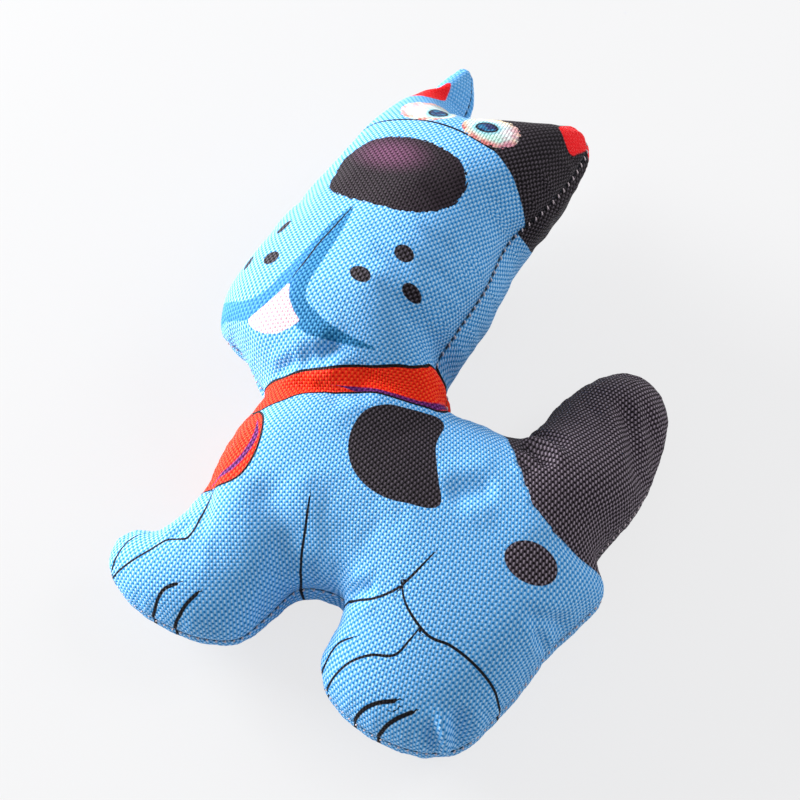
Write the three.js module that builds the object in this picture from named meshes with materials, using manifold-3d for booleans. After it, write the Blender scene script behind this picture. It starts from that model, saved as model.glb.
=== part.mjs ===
// Squeaky dog toy, in millimetres, lying on its back panel with the printed front facing +Z.
// Two panels of woven cloth are sewn together round their edge and stuffed with fibre.
// A bellows squeaker with its reed sits in a pocket in the body's stuffing.
// The feet point to -Y, the ears to +Y and the tail lies towards +X.
import * as THREE from 'three';
import { mergeVertices } from 'three/addons/utils/BufferGeometryUtils.js';
import Module from 'manifold-3d';

// Driving sizes of the sewn outline, measured flat
const TORSO_LENGTH = 100;
const TORSO_DEPTH = 58;
const HEAD_WIDTH = 70;
const HEAD_HEIGHT = 85;
const EAR_WIDTH = 22;
const EAR_LENGTH = 22;
const FRONT_LEG_WIDTH = 40;
const FRONT_LEG_LENGTH = 30;
const HIND_LEG_WIDTH = 46;
const HIND_LEG_LENGTH = 27;
const TAIL_WIDTH = 32;
const TAIL_LENGTH = 48;

// Cloth, stuffing and how full the toy is
const CLOTH_THICKNESS = 0.6;
const CLOTH_CLEARANCE = 0.45;
const PANEL_GAP = 0.3;
const STUFFING_GAP = 0.4;
const SEAM_PINCH = 3;
const LIMB_FULLNESS_SHARE = 1.1;
const HEAD_FULLNESS_SHARE = 1.24;
const FLATTENING_DEPTH = 25;

// How the stuffed toy lies: the head rolls and lifts at the neck, the feet and tail droop
const NECK_LEAN_DEGREES = 15;
const HEAD_ROLL_DEGREES = 23;
const NECK_BEND_BELOW = 10;
const NECK_BEND_ABOVE = 20;
const HEAD_LIFT = 9.5;
const FEET_DROOP = 5.6;
const FEET_DROOP_START_SHARE = 0.24;
const FEET_DROOP_LENGTH = 30;
const TAIL_DROOP = 9.5;
const TAIL_DROOP_LENGTH_SHARE = 0.71;
const TAIL_SIDE_SHARES = [-0.75, 0.375];
const SHOULDER_START_SHARE = 0.3;
const SHOULDER_WIDTH_SHARE = 0.18;
const REST_FLAT_DEPTH = 0.8;

// Roots of the limbs: the neck, legs and tail in shares of the torso from its middle,
// and the ears in shares of the head from the neck
const NECK_SHARES = [-0.29, 0.33];
const FRONT_LEG_ROOT_SHARES = [-0.32, -0.45];
const HIND_LEG_ROOT_SHARES = [0.23, -0.45];
const TAIL_ROOT_SHARES = [0.3, 0.36];
const LEFT_EAR_ROOT_SHARES = [-0.4, 0.99];
const RIGHT_EAR_ROOT_SHARES = [0.21, 0.88];

// Cuts that part the stuffing at the limbs, in the same shares
const CROTCH_SHARES = [-0.065, -0.52];
const FRONT_LEG_CUT_SHARES = [-0.8, -0.4];
const HIND_LEG_CUT_SHARES = [0.65, -0.3];
const LEFT_EAR_CUT_SHARES = [[-0.7, 0.93], [-0.16, 0.99]];
const RIGHT_EAR_CUT_SHARES = [[0.1, 1.02], [0.6, 0.72]];
const RIGHT_EAR_AWAY_SHARES = [0.5, 0.8];
const NECK_CUT_WIDTH_SHARE = 0.52;

// Faceting of the soft surfaces
const EDGE_STEP = 6;
const SURFACE_STEP = 6.5;
const RING_DEPTHS = [2, 5];
const RING_CLOSE_SHARE = 0.85;
const GRID_MARGIN_SHARE = 0.55;
const OUTLINE_CHORDS = 3800;

// Tail joint in the stuffing
const TAIL_BALL_RADIUS = 19.5;
const TAIL_BALL_STEPS = 14;
const TAIL_ROOT_SLOPE_DEGREES = -29;

// Squeaker
const SQUEAKER_RADIUS = 15;
const POCKET_CLEARANCE = 0.4;
const SQUEAKER_HEIGHT = 22;
const SQUEAKER_PLACE_SHARES = [-0.1, 0.02];
const SQUEAKER_BELOW_SEAM_SHARE = 0.7;
const SQUEAKER_FACES = 28;
const BASE_THICKNESS = 2.4;
const BASE_RIM_WIDTH = 1.6;
const BASE_RIM_HEIGHT = 1.4;
const TOP_THICKNESS = 1.6;
const TOP_CROWN = 1.8;
const TOP_RING_SHARES = [0, 0.35, 0.65, 0.88, 1];
const BELLOWS_WALL = 0.8;
const BELLOWS_FOLDS = 3;
const BELLOWS_FOLD_DEPTH = 3.2;
const SEAT_GAP = 0.3;

// Reed cartridge in the squeaker's base
const CARTRIDGE_RADIUS = 3.6;
const CARTRIDGE_LENGTH = 11;
const CARTRIDGE_FLANGE_WIDTH = 1.5;
const CARTRIDGE_FLANGE_THICKNESS = 1;
const CARTRIDGE_BORE_RADIUS = 1.5;
const CARTRIDGE_FACES = 24;
const REED_WIDTH = 3.6;
const REED_THICKNESS = 0.3;
const REED_SEAT_SHARE = 0.68;
const REED_LENGTH_SHARE = 0.8;
const REED_GAP = 0.35;
const CLIP_HEIGHT = 2.6;
const CLIP_WALL = 0.9;

// How far cutting blocks reach past what they cut, and how near two corners count as one
const OVERRUN = 60;
const WELD_DISTANCE = 1e-4;

const radians = THREE.MathUtils.degToRad;
const wasm = await Module();
wasm.setup();

const onTorso = ([xShare, yShare]) => [xShare * TORSO_LENGTH, yShare * TORSO_DEPTH];
const NECK = onTorso(NECK_SHARES);
const onHead = ([xShare, yShare]) => [NECK[0] + xShare * HEAD_WIDTH, NECK[1] + yShare * HEAD_HEIGHT];
const FRONT_LEG_ROOT = onTorso(FRONT_LEG_ROOT_SHARES);
const HIND_LEG_ROOT = onTorso(HIND_LEG_ROOT_SHARES);
const TAIL_ROOT = onTorso(TAIL_ROOT_SHARES);
const LEFT_EAR_ROOT = onHead(LEFT_EAR_ROOT_SHARES);
const RIGHT_EAR_ROOT = onHead(RIGHT_EAR_ROOT_SHARES);

// The sewn outline, counterclockwise from the tip of the left ear.
// Each run of points is in shares of its own limb's width and length, from that limb's root.
const OUTLINE_RUNS = [
  { root: LEFT_EAR_ROOT, size: [EAR_WIDTH, EAR_LENGTH],
    shares: [[-0.07, 1], [-0.12, 0.74], [-0.2, 0.43], [-0.37, 0.04]] },
  { root: NECK, size: [HEAD_WIDTH, HEAD_HEIGHT],
    shares: [[-0.55, 0.89], [-0.585, 0.74], [-0.615, 0.567], [-0.65, 0.39], [-0.67, 0.23], [-0.73, 0.115],
      [-0.655, 0], [-0.515, -0.038], [-0.39, -0.1]] },
  { root: [0, 0], size: [TORSO_LENGTH, TORSO_DEPTH],
    shares: [[-0.494, 0.1], [-0.506, -0.038], [-0.504, -0.214], [-0.488, -0.376]] },
  { root: FRONT_LEG_ROOT, size: [FRONT_LEG_WIDTH, FRONT_LEG_LENGTH],
    shares: [[-0.46, -0.15], [-0.525, -0.35], [-0.67, -0.43], [-0.735, -0.59], [-0.65, -0.81],
      [-0.42, -0.955], [-0.145, -0.985], [0.1, -0.93], [0.29, -0.785], [0.37, -0.5]] },
  { root: [0, 0], size: [TORSO_LENGTH, TORSO_DEPTH],
    shares: [[-0.144, -0.56], [-0.097, -0.514], [-0.034, -0.505]] },
  { root: HIND_LEG_ROOT, size: [HIND_LEG_WIDTH, HIND_LEG_LENGTH],
    shares: [[-0.513, -0.29], [-0.5, -0.62], [-0.39, -0.835], [-0.207, -0.965], [0.017, -0.98],
      [0.213, -0.905], [0.365, -0.705], [0.44, -0.355], [0.495, 0.03]] },
  { root: [0, 0], size: [TORSO_LENGTH, TORSO_DEPTH],
    shares: [[0.47, -0.265], [0.499, -0.09], [0.516, 0.083], [0.459, 0.198]] },
  { root: TAIL_ROOT, size: [TAIL_WIDTH, TAIL_LENGTH],
    shares: [[0.515, -0.06], [0.575, 0.2], [0.475, 0.625], [0.35, 0.85], [0.135, 0.983], [-0.1, 0.996],
      [-0.328, 0.827], [-0.462, 0.58], [-0.48, 0.362]] },
  { root: [0, 0], size: [TORSO_LENGTH, TORSO_DEPTH],
    shares: [[0.125, 0.507], [0.037, 0.49], [-0.041, 0.43], [-0.064, 0.507]] },
  { root: NECK, size: [HEAD_WIDTH, HEAD_HEIGHT],
    shares: [[0.25, 0.166], [0.275, 0.26], [0.29, 0.428], [0.27, 0.613], [0.326, 0.75]] },
  { root: RIGHT_EAR_ROOT, size: [EAR_WIDTH, EAR_LENGTH],
    shares: [[0.44, 0.2], [0.35, 0.55], [0, 0.75], [-0.24, 0.54]] },
  { root: NECK, size: [HEAD_WIDTH, HEAD_HEIGHT], shares: [[-0.05, 0.98]] },
  { root: LEFT_EAR_ROOT, size: [EAR_WIDTH, EAR_LENGTH], shares: [[0.51, 0.07], [0.32, 0.65]] },
];

// One smooth closed curve through the outline's points, walked in even steps
function sewnOutline() {
  const corners = OUTLINE_RUNS.flatMap(({ root, size, shares }) => shares.map(([xShare, yShare]) =>
    new THREE.Vector3(root[0] + xShare * size[0], root[1] + yShare * size[1], 0)));
  const curve = new THREE.CatmullRomCurve3(corners, true, 'centripetal');
  curve.arcLengthDivisions = OUTLINE_CHORDS;
  const count = Math.round(curve.getLength() / EDGE_STEP);
  return curve.getSpacedPoints(count).slice(0, count).map((p) => [p.x, p.y]);
}

// Unit directions square to a closed loop, pointing into it
function inwardDirections(loop) {
  return loop.map((point, i) => {
    const before = loop[(i + loop.length - 1) % loop.length];
    const after = loop[(i + 1) % loop.length];
    const along = [after[0] - before[0], after[1] - before[1]];
    const length = Math.hypot(...along);
    return [-along[1] / length, along[0] / length];
  });
}

function isInside([x, y], loop) {
  let inside = false;
  for (let i = 0, j = loop.length - 1; i < loop.length; j = i, i += 1) {
    const [xi, yi] = loop[i];
    const [xj, yj] = loop[j];
    if (yi > y !== yj > y && x < ((xj - xi) * (y - yi)) / (yj - yi) + xi) inside = !inside;
  }
  return inside;
}

function edgeDistance([x, y], loop) {
  let least = Infinity;
  for (let i = 0; i < loop.length; i += 1) {
    const [ax, ay] = loop[i];
    const [bx, by] = loop[(i + 1) % loop.length];
    const run = ((x - ax) * (bx - ax) + (y - ay) * (by - ay)) / ((bx - ax) ** 2 + (by - ay) ** 2);
    const share = THREE.MathUtils.clamp(run, 0, 1);
    least = Math.min(least, Math.hypot(ax + share * (bx - ax) - x, ay + share * (by - ay) - y));
  }
  return least;
}

// The outline, two rings just inside it, and a triangular grid over the middle
function surfacePoints(outline) {
  const inward = inwardDirections(outline);
  const points = [...outline];
  for (const depth of RING_DEPTHS) {
    outline.forEach(([x, y], i) => {
      const point = [x + inward[i][0] * depth, y + inward[i][1] * depth];
      if (edgeDistance(point, outline) > depth * RING_CLOSE_SHARE) points.push(point);
    });
  }
  const xs = outline.map((p) => p[0]);
  const ys = outline.map((p) => p[1]);
  const rowShare = Math.sqrt(3) / 2;
  const margin = Math.max(...RING_DEPTHS) + GRID_MARGIN_SHARE * SURFACE_STEP;
  let row = 0;
  for (let y = Math.min(...ys); y < Math.max(...ys); y += SURFACE_STEP * rowShare) {
    const start = Math.min(...xs) + ((row % 2) * SURFACE_STEP) / 2;
    for (let x = start; x < Math.max(...xs); x += SURFACE_STEP) {
      if (isInside([x, y], outline) && edgeDistance([x, y], outline) > margin) points.push([x, y]);
    }
    row += 1;
  }
  const closest = GRID_MARGIN_SHARE * Math.min(...RING_DEPTHS);
  return points.filter((point, i) => i < outline.length
    || !points.slice(0, i).some((other) => Math.hypot(point[0] - other[0], point[1] - other[1]) < closest));
}

// Delaunay triangles of the points, added one at a time, kept where they lie inside the outline
function triangulate(points, outline) {
  const far = OVERRUN * points.length;
  const all = [...points, [-far, -far], [far, -far], [0, far]];
  const circled = (a, b, c) => {
    const [ax, ay] = all[a];
    const [bx, by] = [all[b][0] - ax, all[b][1] - ay];
    const [cx, cy] = [all[c][0] - ax, all[c][1] - ay];
    const twice = 2 * (bx * cy - by * cx);
    const x = (cy * (bx * bx + by * by) - by * (cx * cx + cy * cy)) / twice;
    const y = (bx * (cx * cx + cy * cy) - cx * (bx * bx + by * by)) / twice;
    return { corners: [a, b, c], x: x + ax, y: y + ay, reach: x * x + y * y };
  };
  let triangles = [circled(points.length, points.length + 1, points.length + 2)];
  points.forEach(([x, y], index) => {
    const open = new Map();
    triangles = triangles.filter((triangle) => {
      if ((x - triangle.x) ** 2 + (y - triangle.y) ** 2 >= triangle.reach) return true;
      const [a, b, c] = triangle.corners;
      for (const [from, to] of [[a, b], [b, c], [c, a]]) {
        if (!open.delete(`${to},${from}`)) open.set(`${from},${to}`, [from, to]);
      }
      return false;
    });
    for (const [from, to] of open.values()) triangles.push(circled(from, to, index));
  });
  return triangles.map((triangle) => triangle.corners).filter((corners) => {
    if (Math.max(...corners) >= points.length) return false;
    const [a, b, c] = corners.map((corner) => points[corner]);
    const middle = [0, 1].map((k) => (a[k] + b[k] + c[k]) / 3);
    return isInside(middle, outline);
  });
}

// How a sewn pillow rises: the sheet's slope is set by the stuffing's even push against its edge.
// Solves that for every point, with the outline held down, by repeated relaxation.
function rise(points, triangles, held) {
  const links = points.map(() => new Map());
  const areas = points.map(() => 0);
  for (const corners of triangles) {
    for (let k = 0; k < 3; k += 1) {
      const [a, b, c] = [corners[k], corners[(k + 1) % 3], corners[(k + 2) % 3]];
      const u = [points[a][0] - points[c][0], points[a][1] - points[c][1]];
      const v = [points[b][0] - points[c][0], points[b][1] - points[c][1]];
      const cross = Math.abs(u[0] * v[1] - u[1] * v[0]);
      const pull = (u[0] * v[0] + u[1] * v[1]) / cross / 2;
      links[a].set(b, (links[a].get(b) ?? 0) + pull);
      links[b].set(a, (links[b].get(a) ?? 0) + pull);
      areas[a] += cross / 2 / 3;
    }
  }
  const heights = points.map(() => 0);
  const overShare = 1.85;
  const sweeps = 600;
  for (let sweep = 0; sweep < sweeps; sweep += 1) {
    for (let i = held; i < points.length; i += 1) {
      let sum = areas[i];
      let total = 0;
      for (const [j, pull] of links[i]) {
        sum += pull * heights[j];
        total += pull;
      }
      heights[i] += overShare * (sum / total - heights[i]);
    }
  }
  return heights;
}

const smooth = (value) => THREE.MathUtils.smoothstep(value, 0, 1);
const neckLean = radians(NECK_LEAN_DEGREES);
const NECK_AXIS = [-Math.sin(neckLean), Math.cos(neckLean)];
const NECK_ACROSS = [Math.cos(neckLean), Math.sin(neckLean)];

// 1 on the head, 0 on the body, and a smooth change through the neck
function headShare(x, y) {
  const along = (x - NECK[0]) * NECK_AXIS[0] + (y - NECK[1]) * NECK_AXIS[1];
  const bent = smooth((along + NECK_BEND_BELOW) / (NECK_BEND_BELOW + NECK_BEND_ABOVE));
  const [shoulder] = onHead([SHOULDER_START_SHARE, 0]);
  const clear = smooth((x - shoulder) / (SHOULDER_WIDTH_SHARE * TORSO_LENGTH));
  return bent * (1 - clear);
}

// 0 at the tail's root and on the body, and 1 towards the tail's tip
function tailShare(x, y) {
  const [startShare, widthShare] = TAIL_SIDE_SHARES;
  const beside = smooth((x - TAIL_ROOT[0] - startShare * TAIL_WIDTH) / (widthShare * TAIL_WIDTH));
  return beside * smooth((y - TAIL_ROOT[1]) / (TAIL_DROOP_LENGTH_SHARE * TAIL_LENGTH));
}

// Half of the toy's thickness at a point
function halfThickness([x, y], height) {
  const round = Math.sqrt(2 * height + SEAM_PINCH ** 2) - SEAM_PINCH;
  const fullness = LIMB_FULLNESS_SHARE * (1 + (HEAD_FULLNESS_SHARE - 1) * headShare(x, y));
  return (fullness * round) / Math.sqrt(1 + (round / FLATTENING_DEPTH) ** 2);
}

// From the flat pattern to how the toy lies
function bend([x, y, z]) {
  const share = headShare(x, y);
  const roll = radians(HEAD_ROLL_DEGREES) * share;
  const along = (x - NECK[0]) * NECK_AXIS[0] + (y - NECK[1]) * NECK_AXIS[1];
  const across = (x - NECK[0]) * NECK_ACROSS[0] + (y - NECK[1]) * NECK_ACROSS[1];
  const turned = across * Math.cos(roll) - z * Math.sin(roll);
  const lifted = across * Math.sin(roll) + z * Math.cos(roll) + HEAD_LIFT * share;
  const droop = FEET_DROOP * smooth((-y - FEET_DROOP_START_SHARE * TORSO_DEPTH) / FEET_DROOP_LENGTH)
    + TAIL_DROOP * tailShare(x, y);
  return [
    NECK[0] + along * NECK_AXIS[0] + turned * NECK_ACROSS[0],
    NECK[1] + along * NECK_AXIS[1] + turned * NECK_ACROSS[1],
    lifted - droop,
  ];
}

const outline = sewnOutline();
const inward = inwardDirections(outline);
const flatPoints = surfacePoints(outline);
const flatTriangles = triangulate(flatPoints, outline);
const heights = rise(flatPoints, flatTriangles, outline.length);

// One side of the stuffed toy in the flat pattern, a given depth under the cloth's outer face
function side(sign, depth, seam) {
  const outer = flatPoints.map((point, i) => [point[0], point[1], i < outline.length ? 0
    : halfThickness(point, heights[i])]);
  const normals = outer.map(() => new THREE.Vector3());
  const [a, b, c] = [new THREE.Vector3(), new THREE.Vector3(), new THREE.Vector3()];
  for (const corners of flatTriangles) {
    a.fromArray(outer[corners[0]]);
    b.fromArray(outer[corners[1]]).sub(a);
    c.fromArray(outer[corners[2]]).sub(a);
    b.cross(c);
    corners.forEach((corner) => normals[corner].add(b));
  }
  return outer.map((point, i) => {
    if (i < outline.length) {
      return [point[0] + inward[i][0] * depth, point[1] + inward[i][1] * depth, sign * seam];
    }
    const normal = normals[i].normalize();
    const [x, y, z] = [0, 1, 2].map((k) => point[k] - normal.getComponent(k) * depth);
    return [x, y, sign * (z + seam)];
  });
}

const clothOuter = side(-1, 0, PANEL_GAP / 2).map(bend);
const restLevel = Math.min(...clothOuter.map((p) => p[2])) + REST_FLAT_DEPTH;

// Bent into place, and pressed flat where the toy rests on its back
const settle = (point, depth) => {
  const [x, y, z] = bend(point);
  return [x, y, Math.max(z, restLevel + depth)];
};

function closedGeometry(positions, triangles) {
  const geometry = new THREE.BufferGeometry();
  geometry.setAttribute('position', new THREE.Float32BufferAttribute(positions.flat(), 3));
  geometry.setIndex(triangles.flat());
  return geometry;
}

const reversed = (triangles) => triangles.map(([a, b, c]) => [a, c, b]);

// A cloth panel: its outer face, its inner face, and the cut edge that joins them at the seam
function clothPanel(sign) {
  const outer = side(sign, 0, PANEL_GAP / 2).map((p) => settle(p, 0));
  const inner = side(sign, CLOTH_THICKNESS, PANEL_GAP / 2).map((p) => settle(p, CLOTH_THICKNESS));
  const count = outer.length;
  const top = sign > 0 ? flatTriangles : reversed(flatTriangles);
  const under = reversed(top).map((corners) => corners.map((corner) => corner + count));
  const rim = outline.flatMap((point, i) => {
    const next = (i + 1) % outline.length;
    return [[i, i + count, next], [next, i + count, next + count]];
  });
  return closedGeometry([...outer, ...inner], [...top, ...under, ...(sign > 0 ? rim : reversed(rim))]);
}

function toManifold(geometry) {
  const bare = geometry.clone();
  bare.deleteAttribute('normal');
  bare.deleteAttribute('uv');
  const merged = mergeVertices(bare, WELD_DISTANCE);
  return new wasm.Manifold(new wasm.Mesh({
    numProp: 3,
    vertProperties: Float32Array.from(merged.attributes.position.array),
    triVerts: Uint32Array.from(merged.index.array),
  }));
}

function fromManifold(solid) {
  const { vertProperties, triVerts } = solid.getMesh();
  const geometry = new THREE.BufferGeometry();
  geometry.setAttribute('position', new THREE.BufferAttribute(Float32Array.from(vertProperties), 3));
  geometry.setIndex(new THREE.BufferAttribute(Uint32Array.from(triVerts), 1));
  return geometry;
}

// The whole stuffing before it is parted into limbs, still in the flat pattern
const STUFFING_DEPTH = CLOTH_THICKNESS + CLOTH_CLEARANCE;
function wholeStuffing() {
  const upper = side(1, STUFFING_DEPTH, 0);
  const lower = side(-1, STUFFING_DEPTH, 0);
  const count = upper.length;
  const onLower = (corner) => (corner < outline.length ? corner : corner + count);
  const under = reversed(flatTriangles).map((corners) => corners.map(onLower));
  return toManifold(closedGeometry([...upper, ...lower], [...flatTriangles, ...under]));
}

// A tall block over a region of the pattern
function block(corners) {
  const shape = new THREE.Shape(corners.map(([x, y]) => new THREE.Vector2(x, y)));
  const geometry = new THREE.ExtrudeGeometry(shape, { depth: 2 * OVERRUN, bevelEnabled: false });
  geometry.translate(0, 0, -OVERRUN);
  return toManifold(geometry);
}

// A region on one side of a cut from point a to point b, grown across the cut
function beyondCut(a, b, away, grow) {
  const length = Math.hypot(b[0] - a[0], b[1] - a[1]);
  const across = [(b[1] - a[1]) / length, (a[0] - b[0]) / length];
  const sign = Math.sign(across[0] * away[0] + across[1] * away[1]);
  const shifted = [a, b].map((p) => [p[0] - across[0] * sign * grow, p[1] - across[1] * sign * grow]);
  const [from, to] = shifted;
  return block([from, to, [to[0] + away[0] * OVERRUN, to[1] + away[1] * OVERRUN],
    [from[0] + away[0] * OVERRUN, from[1] + away[1] * OVERRUN]]);
}

const limbCuts = {
  frontLeg: (grow) => beyondCut(onTorso(CROTCH_SHARES), onTorso(FRONT_LEG_CUT_SHARES), [0, -1], grow),
  hindLeg: (grow) => beyondCut(onTorso(CROTCH_SHARES), onTorso(HIND_LEG_CUT_SHARES), [0, -1], grow),
  leftEar: (grow) => beyondCut(...LEFT_EAR_CUT_SHARES.map(onHead), [0, 1], grow),
  rightEar: (grow) => beyondCut(...RIGHT_EAR_CUT_SHARES.map(onHead), RIGHT_EAR_AWAY_SHARES, grow),
};

// The head's side of the neck, which stops short of the tail
function headRegion(grow) {
  const start = [NECK[0] - NECK_AXIS[0] * grow, NECK[1] - NECK_AXIS[1] * grow];
  const onNeck = (reach) => [start[0] + NECK_ACROSS[0] * reach, start[1] + NECK_ACROSS[1] * reach];
  const right = onNeck(NECK_CUT_WIDTH_SHARE * HEAD_WIDTH);
  const left = onNeck(-HEAD_WIDTH);
  const top = NECK[1] + HEAD_HEIGHT + OVERRUN;
  return block([left, right, [right[0], top], [left[0], top]]);
}

// The tail with the round end that turns in the body's stuffing
function tailRegion(grow) {
  const slope = radians(TAIL_ROOT_SLOPE_DEGREES);
  const radius = TAIL_BALL_RADIUS + grow;
  const arc = Array.from({ length: TAIL_BALL_STEPS + 1 }, (_, i) => {
    const angle = slope + Math.PI + (Math.PI * i) / TAIL_BALL_STEPS;
    return [TAIL_ROOT[0] + radius * Math.cos(angle), TAIL_ROOT[1] + radius * Math.sin(angle)];
  });
  const right = TAIL_ROOT[0] + OVERRUN;
  const top = TAIL_ROOT[1] + TAIL_LENGTH + OVERRUN;
  return block([...arc, [right, TAIL_ROOT[1]], [right, top], [arc[0][0], top]]);
}

// The squeaker stands in the thickest part of the body, in a pocket open to the back panel
const SQUEAKER_PLACE = onTorso(SQUEAKER_PLACE_SHARES);
const SQUEAKER_BOTTOM = -SQUEAKER_BELOW_SEAM_SHARE * SQUEAKER_HEIGHT;
function squeakerPocket() {
  const depth = OVERRUN + SQUEAKER_BOTTOM + SQUEAKER_HEIGHT + SEAT_GAP;
  const geometry = new THREE.CylinderGeometry(SQUEAKER_RADIUS + POCKET_CLEARANCE,
    SQUEAKER_RADIUS + POCKET_CLEARANCE, depth, SQUEAKER_FACES);
  geometry.rotateX(Math.PI / 2);
  geometry.translate(SQUEAKER_PLACE[0], SQUEAKER_PLACE[1], depth / 2 - OVERRUN);
  return toManifold(geometry);
}

function settledStuffing(solid) {
  const geometry = fromManifold(solid);
  const { position } = geometry.attributes;
  for (let i = 0; i < position.count; i += 1) {
    const point = [position.getX(i), position.getY(i), position.getZ(i)];
    position.setXYZ(i, ...settle(point, STUFFING_DEPTH));
  }
  return geometry;
}

function stuffingPieces() {
  const whole = wholeStuffing();
  const headWhole = whole.intersect(headRegion(0));
  const pieces = {
    head_filling: headWhole
      .subtract(limbCuts.leftEar(STUFFING_GAP)).subtract(limbCuts.rightEar(STUFFING_GAP)),
    left_ear_filling: headWhole.intersect(limbCuts.leftEar(0)),
    right_ear_filling: headWhole.intersect(limbCuts.rightEar(0)),
    front_leg_filling: whole.intersect(limbCuts.frontLeg(0)),
    hind_leg_filling: whole.intersect(limbCuts.hindLeg(0)),
    tail_filling: whole.intersect(tailRegion(0)),
    body_filling: whole.subtract(headRegion(STUFFING_GAP)).subtract(limbCuts.frontLeg(STUFFING_GAP))
      .subtract(limbCuts.hindLeg(STUFFING_GAP)).subtract(tailRegion(STUFFING_GAP)).subtract(squeakerPocket()),
  };
  return Object.entries(pieces).map(([name, solid]) => [name, settledStuffing(solid)]);
}

const cloth = { roughness: 0.85, metalness: 0 };
const materials = {
  cloth: new THREE.MeshStandardMaterial({ color: 0x6fb4e6, ...cloth }),
  backCloth: new THREE.MeshStandardMaterial({ color: 0x66a9dc, ...cloth }),
  fibre: new THREE.MeshStandardMaterial({ color: 0xf3f2ee, roughness: 0.95, metalness: 0 }),
  softPlastic: new THREE.MeshStandardMaterial({ color: 0xe9ecef, roughness: 0.45, metalness: 0 }),
  hardPlastic: new THREE.MeshStandardMaterial({ color: 0xf7f7f4, roughness: 0.35, metalness: 0 }),
  reed: new THREE.MeshStandardMaterial({ color: 0xd8d2c4, roughness: 0.3, metalness: 0 }),
};

function meshOf(name, geometry, material) {
  geometry.computeVertexNormals();
  const mesh = new THREE.Mesh(geometry, material);
  mesh.name = name;
  return mesh;
}

// Turned shapes: a profile of radius and height pairs, closed on itself or on the axis
function turned(profile, faces) {
  const geometry = new THREE.LatheGeometry(profile.map(([r, z]) => new THREE.Vector2(r, z)), faces);
  geometry.rotateX(Math.PI / 2);
  return geometry;
}

// Squeaker base: a disc with a raised rim and a hole that takes the reed cartridge
const BASE_HOLE_RADIUS = CARTRIDGE_RADIUS + SEAT_GAP;
function squeakerBase() {
  const rimInner = SQUEAKER_RADIUS - BASE_RIM_WIDTH;
  const rimTop = BASE_THICKNESS + BASE_RIM_HEIGHT;
  const profile = [[BASE_HOLE_RADIUS, 0], [SQUEAKER_RADIUS, 0], [SQUEAKER_RADIUS, rimTop], [rimInner, rimTop],
    [rimInner, BASE_THICKNESS], [BASE_HOLE_RADIUS, BASE_THICKNESS], [BASE_HOLE_RADIUS, 0]];
  return turned(profile, SQUEAKER_FACES);
}

// Bellows: a thin wall folded in and out, seated in the base's rim and under the top
const BELLOWS_OUTER = SQUEAKER_RADIUS - BASE_RIM_WIDTH - SEAT_GAP;
const BELLOWS_BOTTOM = BASE_THICKNESS + SEAT_GAP;
const BELLOWS_TOP = SQUEAKER_HEIGHT - TOP_THICKNESS - TOP_CROWN - SEAT_GAP;
function squeakerBellows() {
  const step = (BELLOWS_TOP - BELLOWS_BOTTOM) / (2 * BELLOWS_FOLDS);
  const line = Array.from({ length: 2 * BELLOWS_FOLDS + 1 }, (_, i) => [
    i % 2 === 0 ? BELLOWS_OUTER : BELLOWS_OUTER - BELLOWS_FOLD_DEPTH, BELLOWS_BOTTOM + i * step]);
  const inner = line.map(([r, z]) => [r - BELLOWS_WALL, z]).reverse();
  return turned([...line, ...inner, line[0]], SQUEAKER_FACES);
}

// Top: a shallow dome that a press pushes down
function squeakerTop() {
  const under = SQUEAKER_HEIGHT - TOP_THICKNESS - TOP_CROWN;
  const crown = (share) => TOP_CROWN * (1 - share * share);
  const upper = TOP_RING_SHARES.map((share) => [share * BELLOWS_OUTER, under + TOP_THICKNESS + crown(share)]);
  return turned([[0, under], [BELLOWS_OUTER, under], ...upper.reverse()], SQUEAKER_FACES);
}

// Reed cartridge: a flanged tube, cut to a flat seat above the base for the reed to lie on
const CARTRIDGE_BOTTOM = -CARTRIDGE_FLANGE_THICKNESS - SEAT_GAP;
const CARTRIDGE_TOP = CARTRIDGE_BOTTOM + CARTRIDGE_LENGTH;
const SEAT_BOTTOM = CARTRIDGE_TOP - REED_SEAT_SHARE * CARTRIDGE_LENGTH;
function reedHolder() {
  const flange = CARTRIDGE_RADIUS + CARTRIDGE_FLANGE_WIDTH;
  const flangeTop = CARTRIDGE_BOTTOM + CARTRIDGE_FLANGE_THICKNESS;
  const profile = [[CARTRIDGE_BORE_RADIUS, CARTRIDGE_BOTTOM], [flange, CARTRIDGE_BOTTOM], [flange, flangeTop],
    [CARTRIDGE_RADIUS, flangeTop], [CARTRIDGE_RADIUS, CARTRIDGE_TOP], [CARTRIDGE_BORE_RADIUS, CARTRIDGE_TOP],
    [CARTRIDGE_BORE_RADIUS, CARTRIDGE_BOTTOM]];
  const cut = new THREE.BoxGeometry(OVERRUN, OVERRUN, CARTRIDGE_TOP - SEAT_BOTTOM + OVERRUN);
  cut.translate(0, OVERRUN / 2, SEAT_BOTTOM + (CARTRIDGE_TOP - SEAT_BOTTOM + OVERRUN) / 2);
  return fromManifold(toManifold(turned(profile, CARTRIDGE_FACES)).subtract(toManifold(cut)));
}

// Reed: a thin springy strip over the cartridge's slot, held at its lower end by the clip
const REED_LENGTH = REED_LENGTH_SHARE * (CARTRIDGE_TOP - SEAT_BOTTOM);
const REED_BOTTOM = SEAT_BOTTOM + REED_GAP;
function reedStrip() {
  const geometry = new THREE.BoxGeometry(REED_WIDTH, REED_THICKNESS, REED_LENGTH);
  geometry.translate(0, REED_GAP + REED_THICKNESS / 2, REED_BOTTOM + REED_LENGTH / 2);
  return geometry;
}

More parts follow.
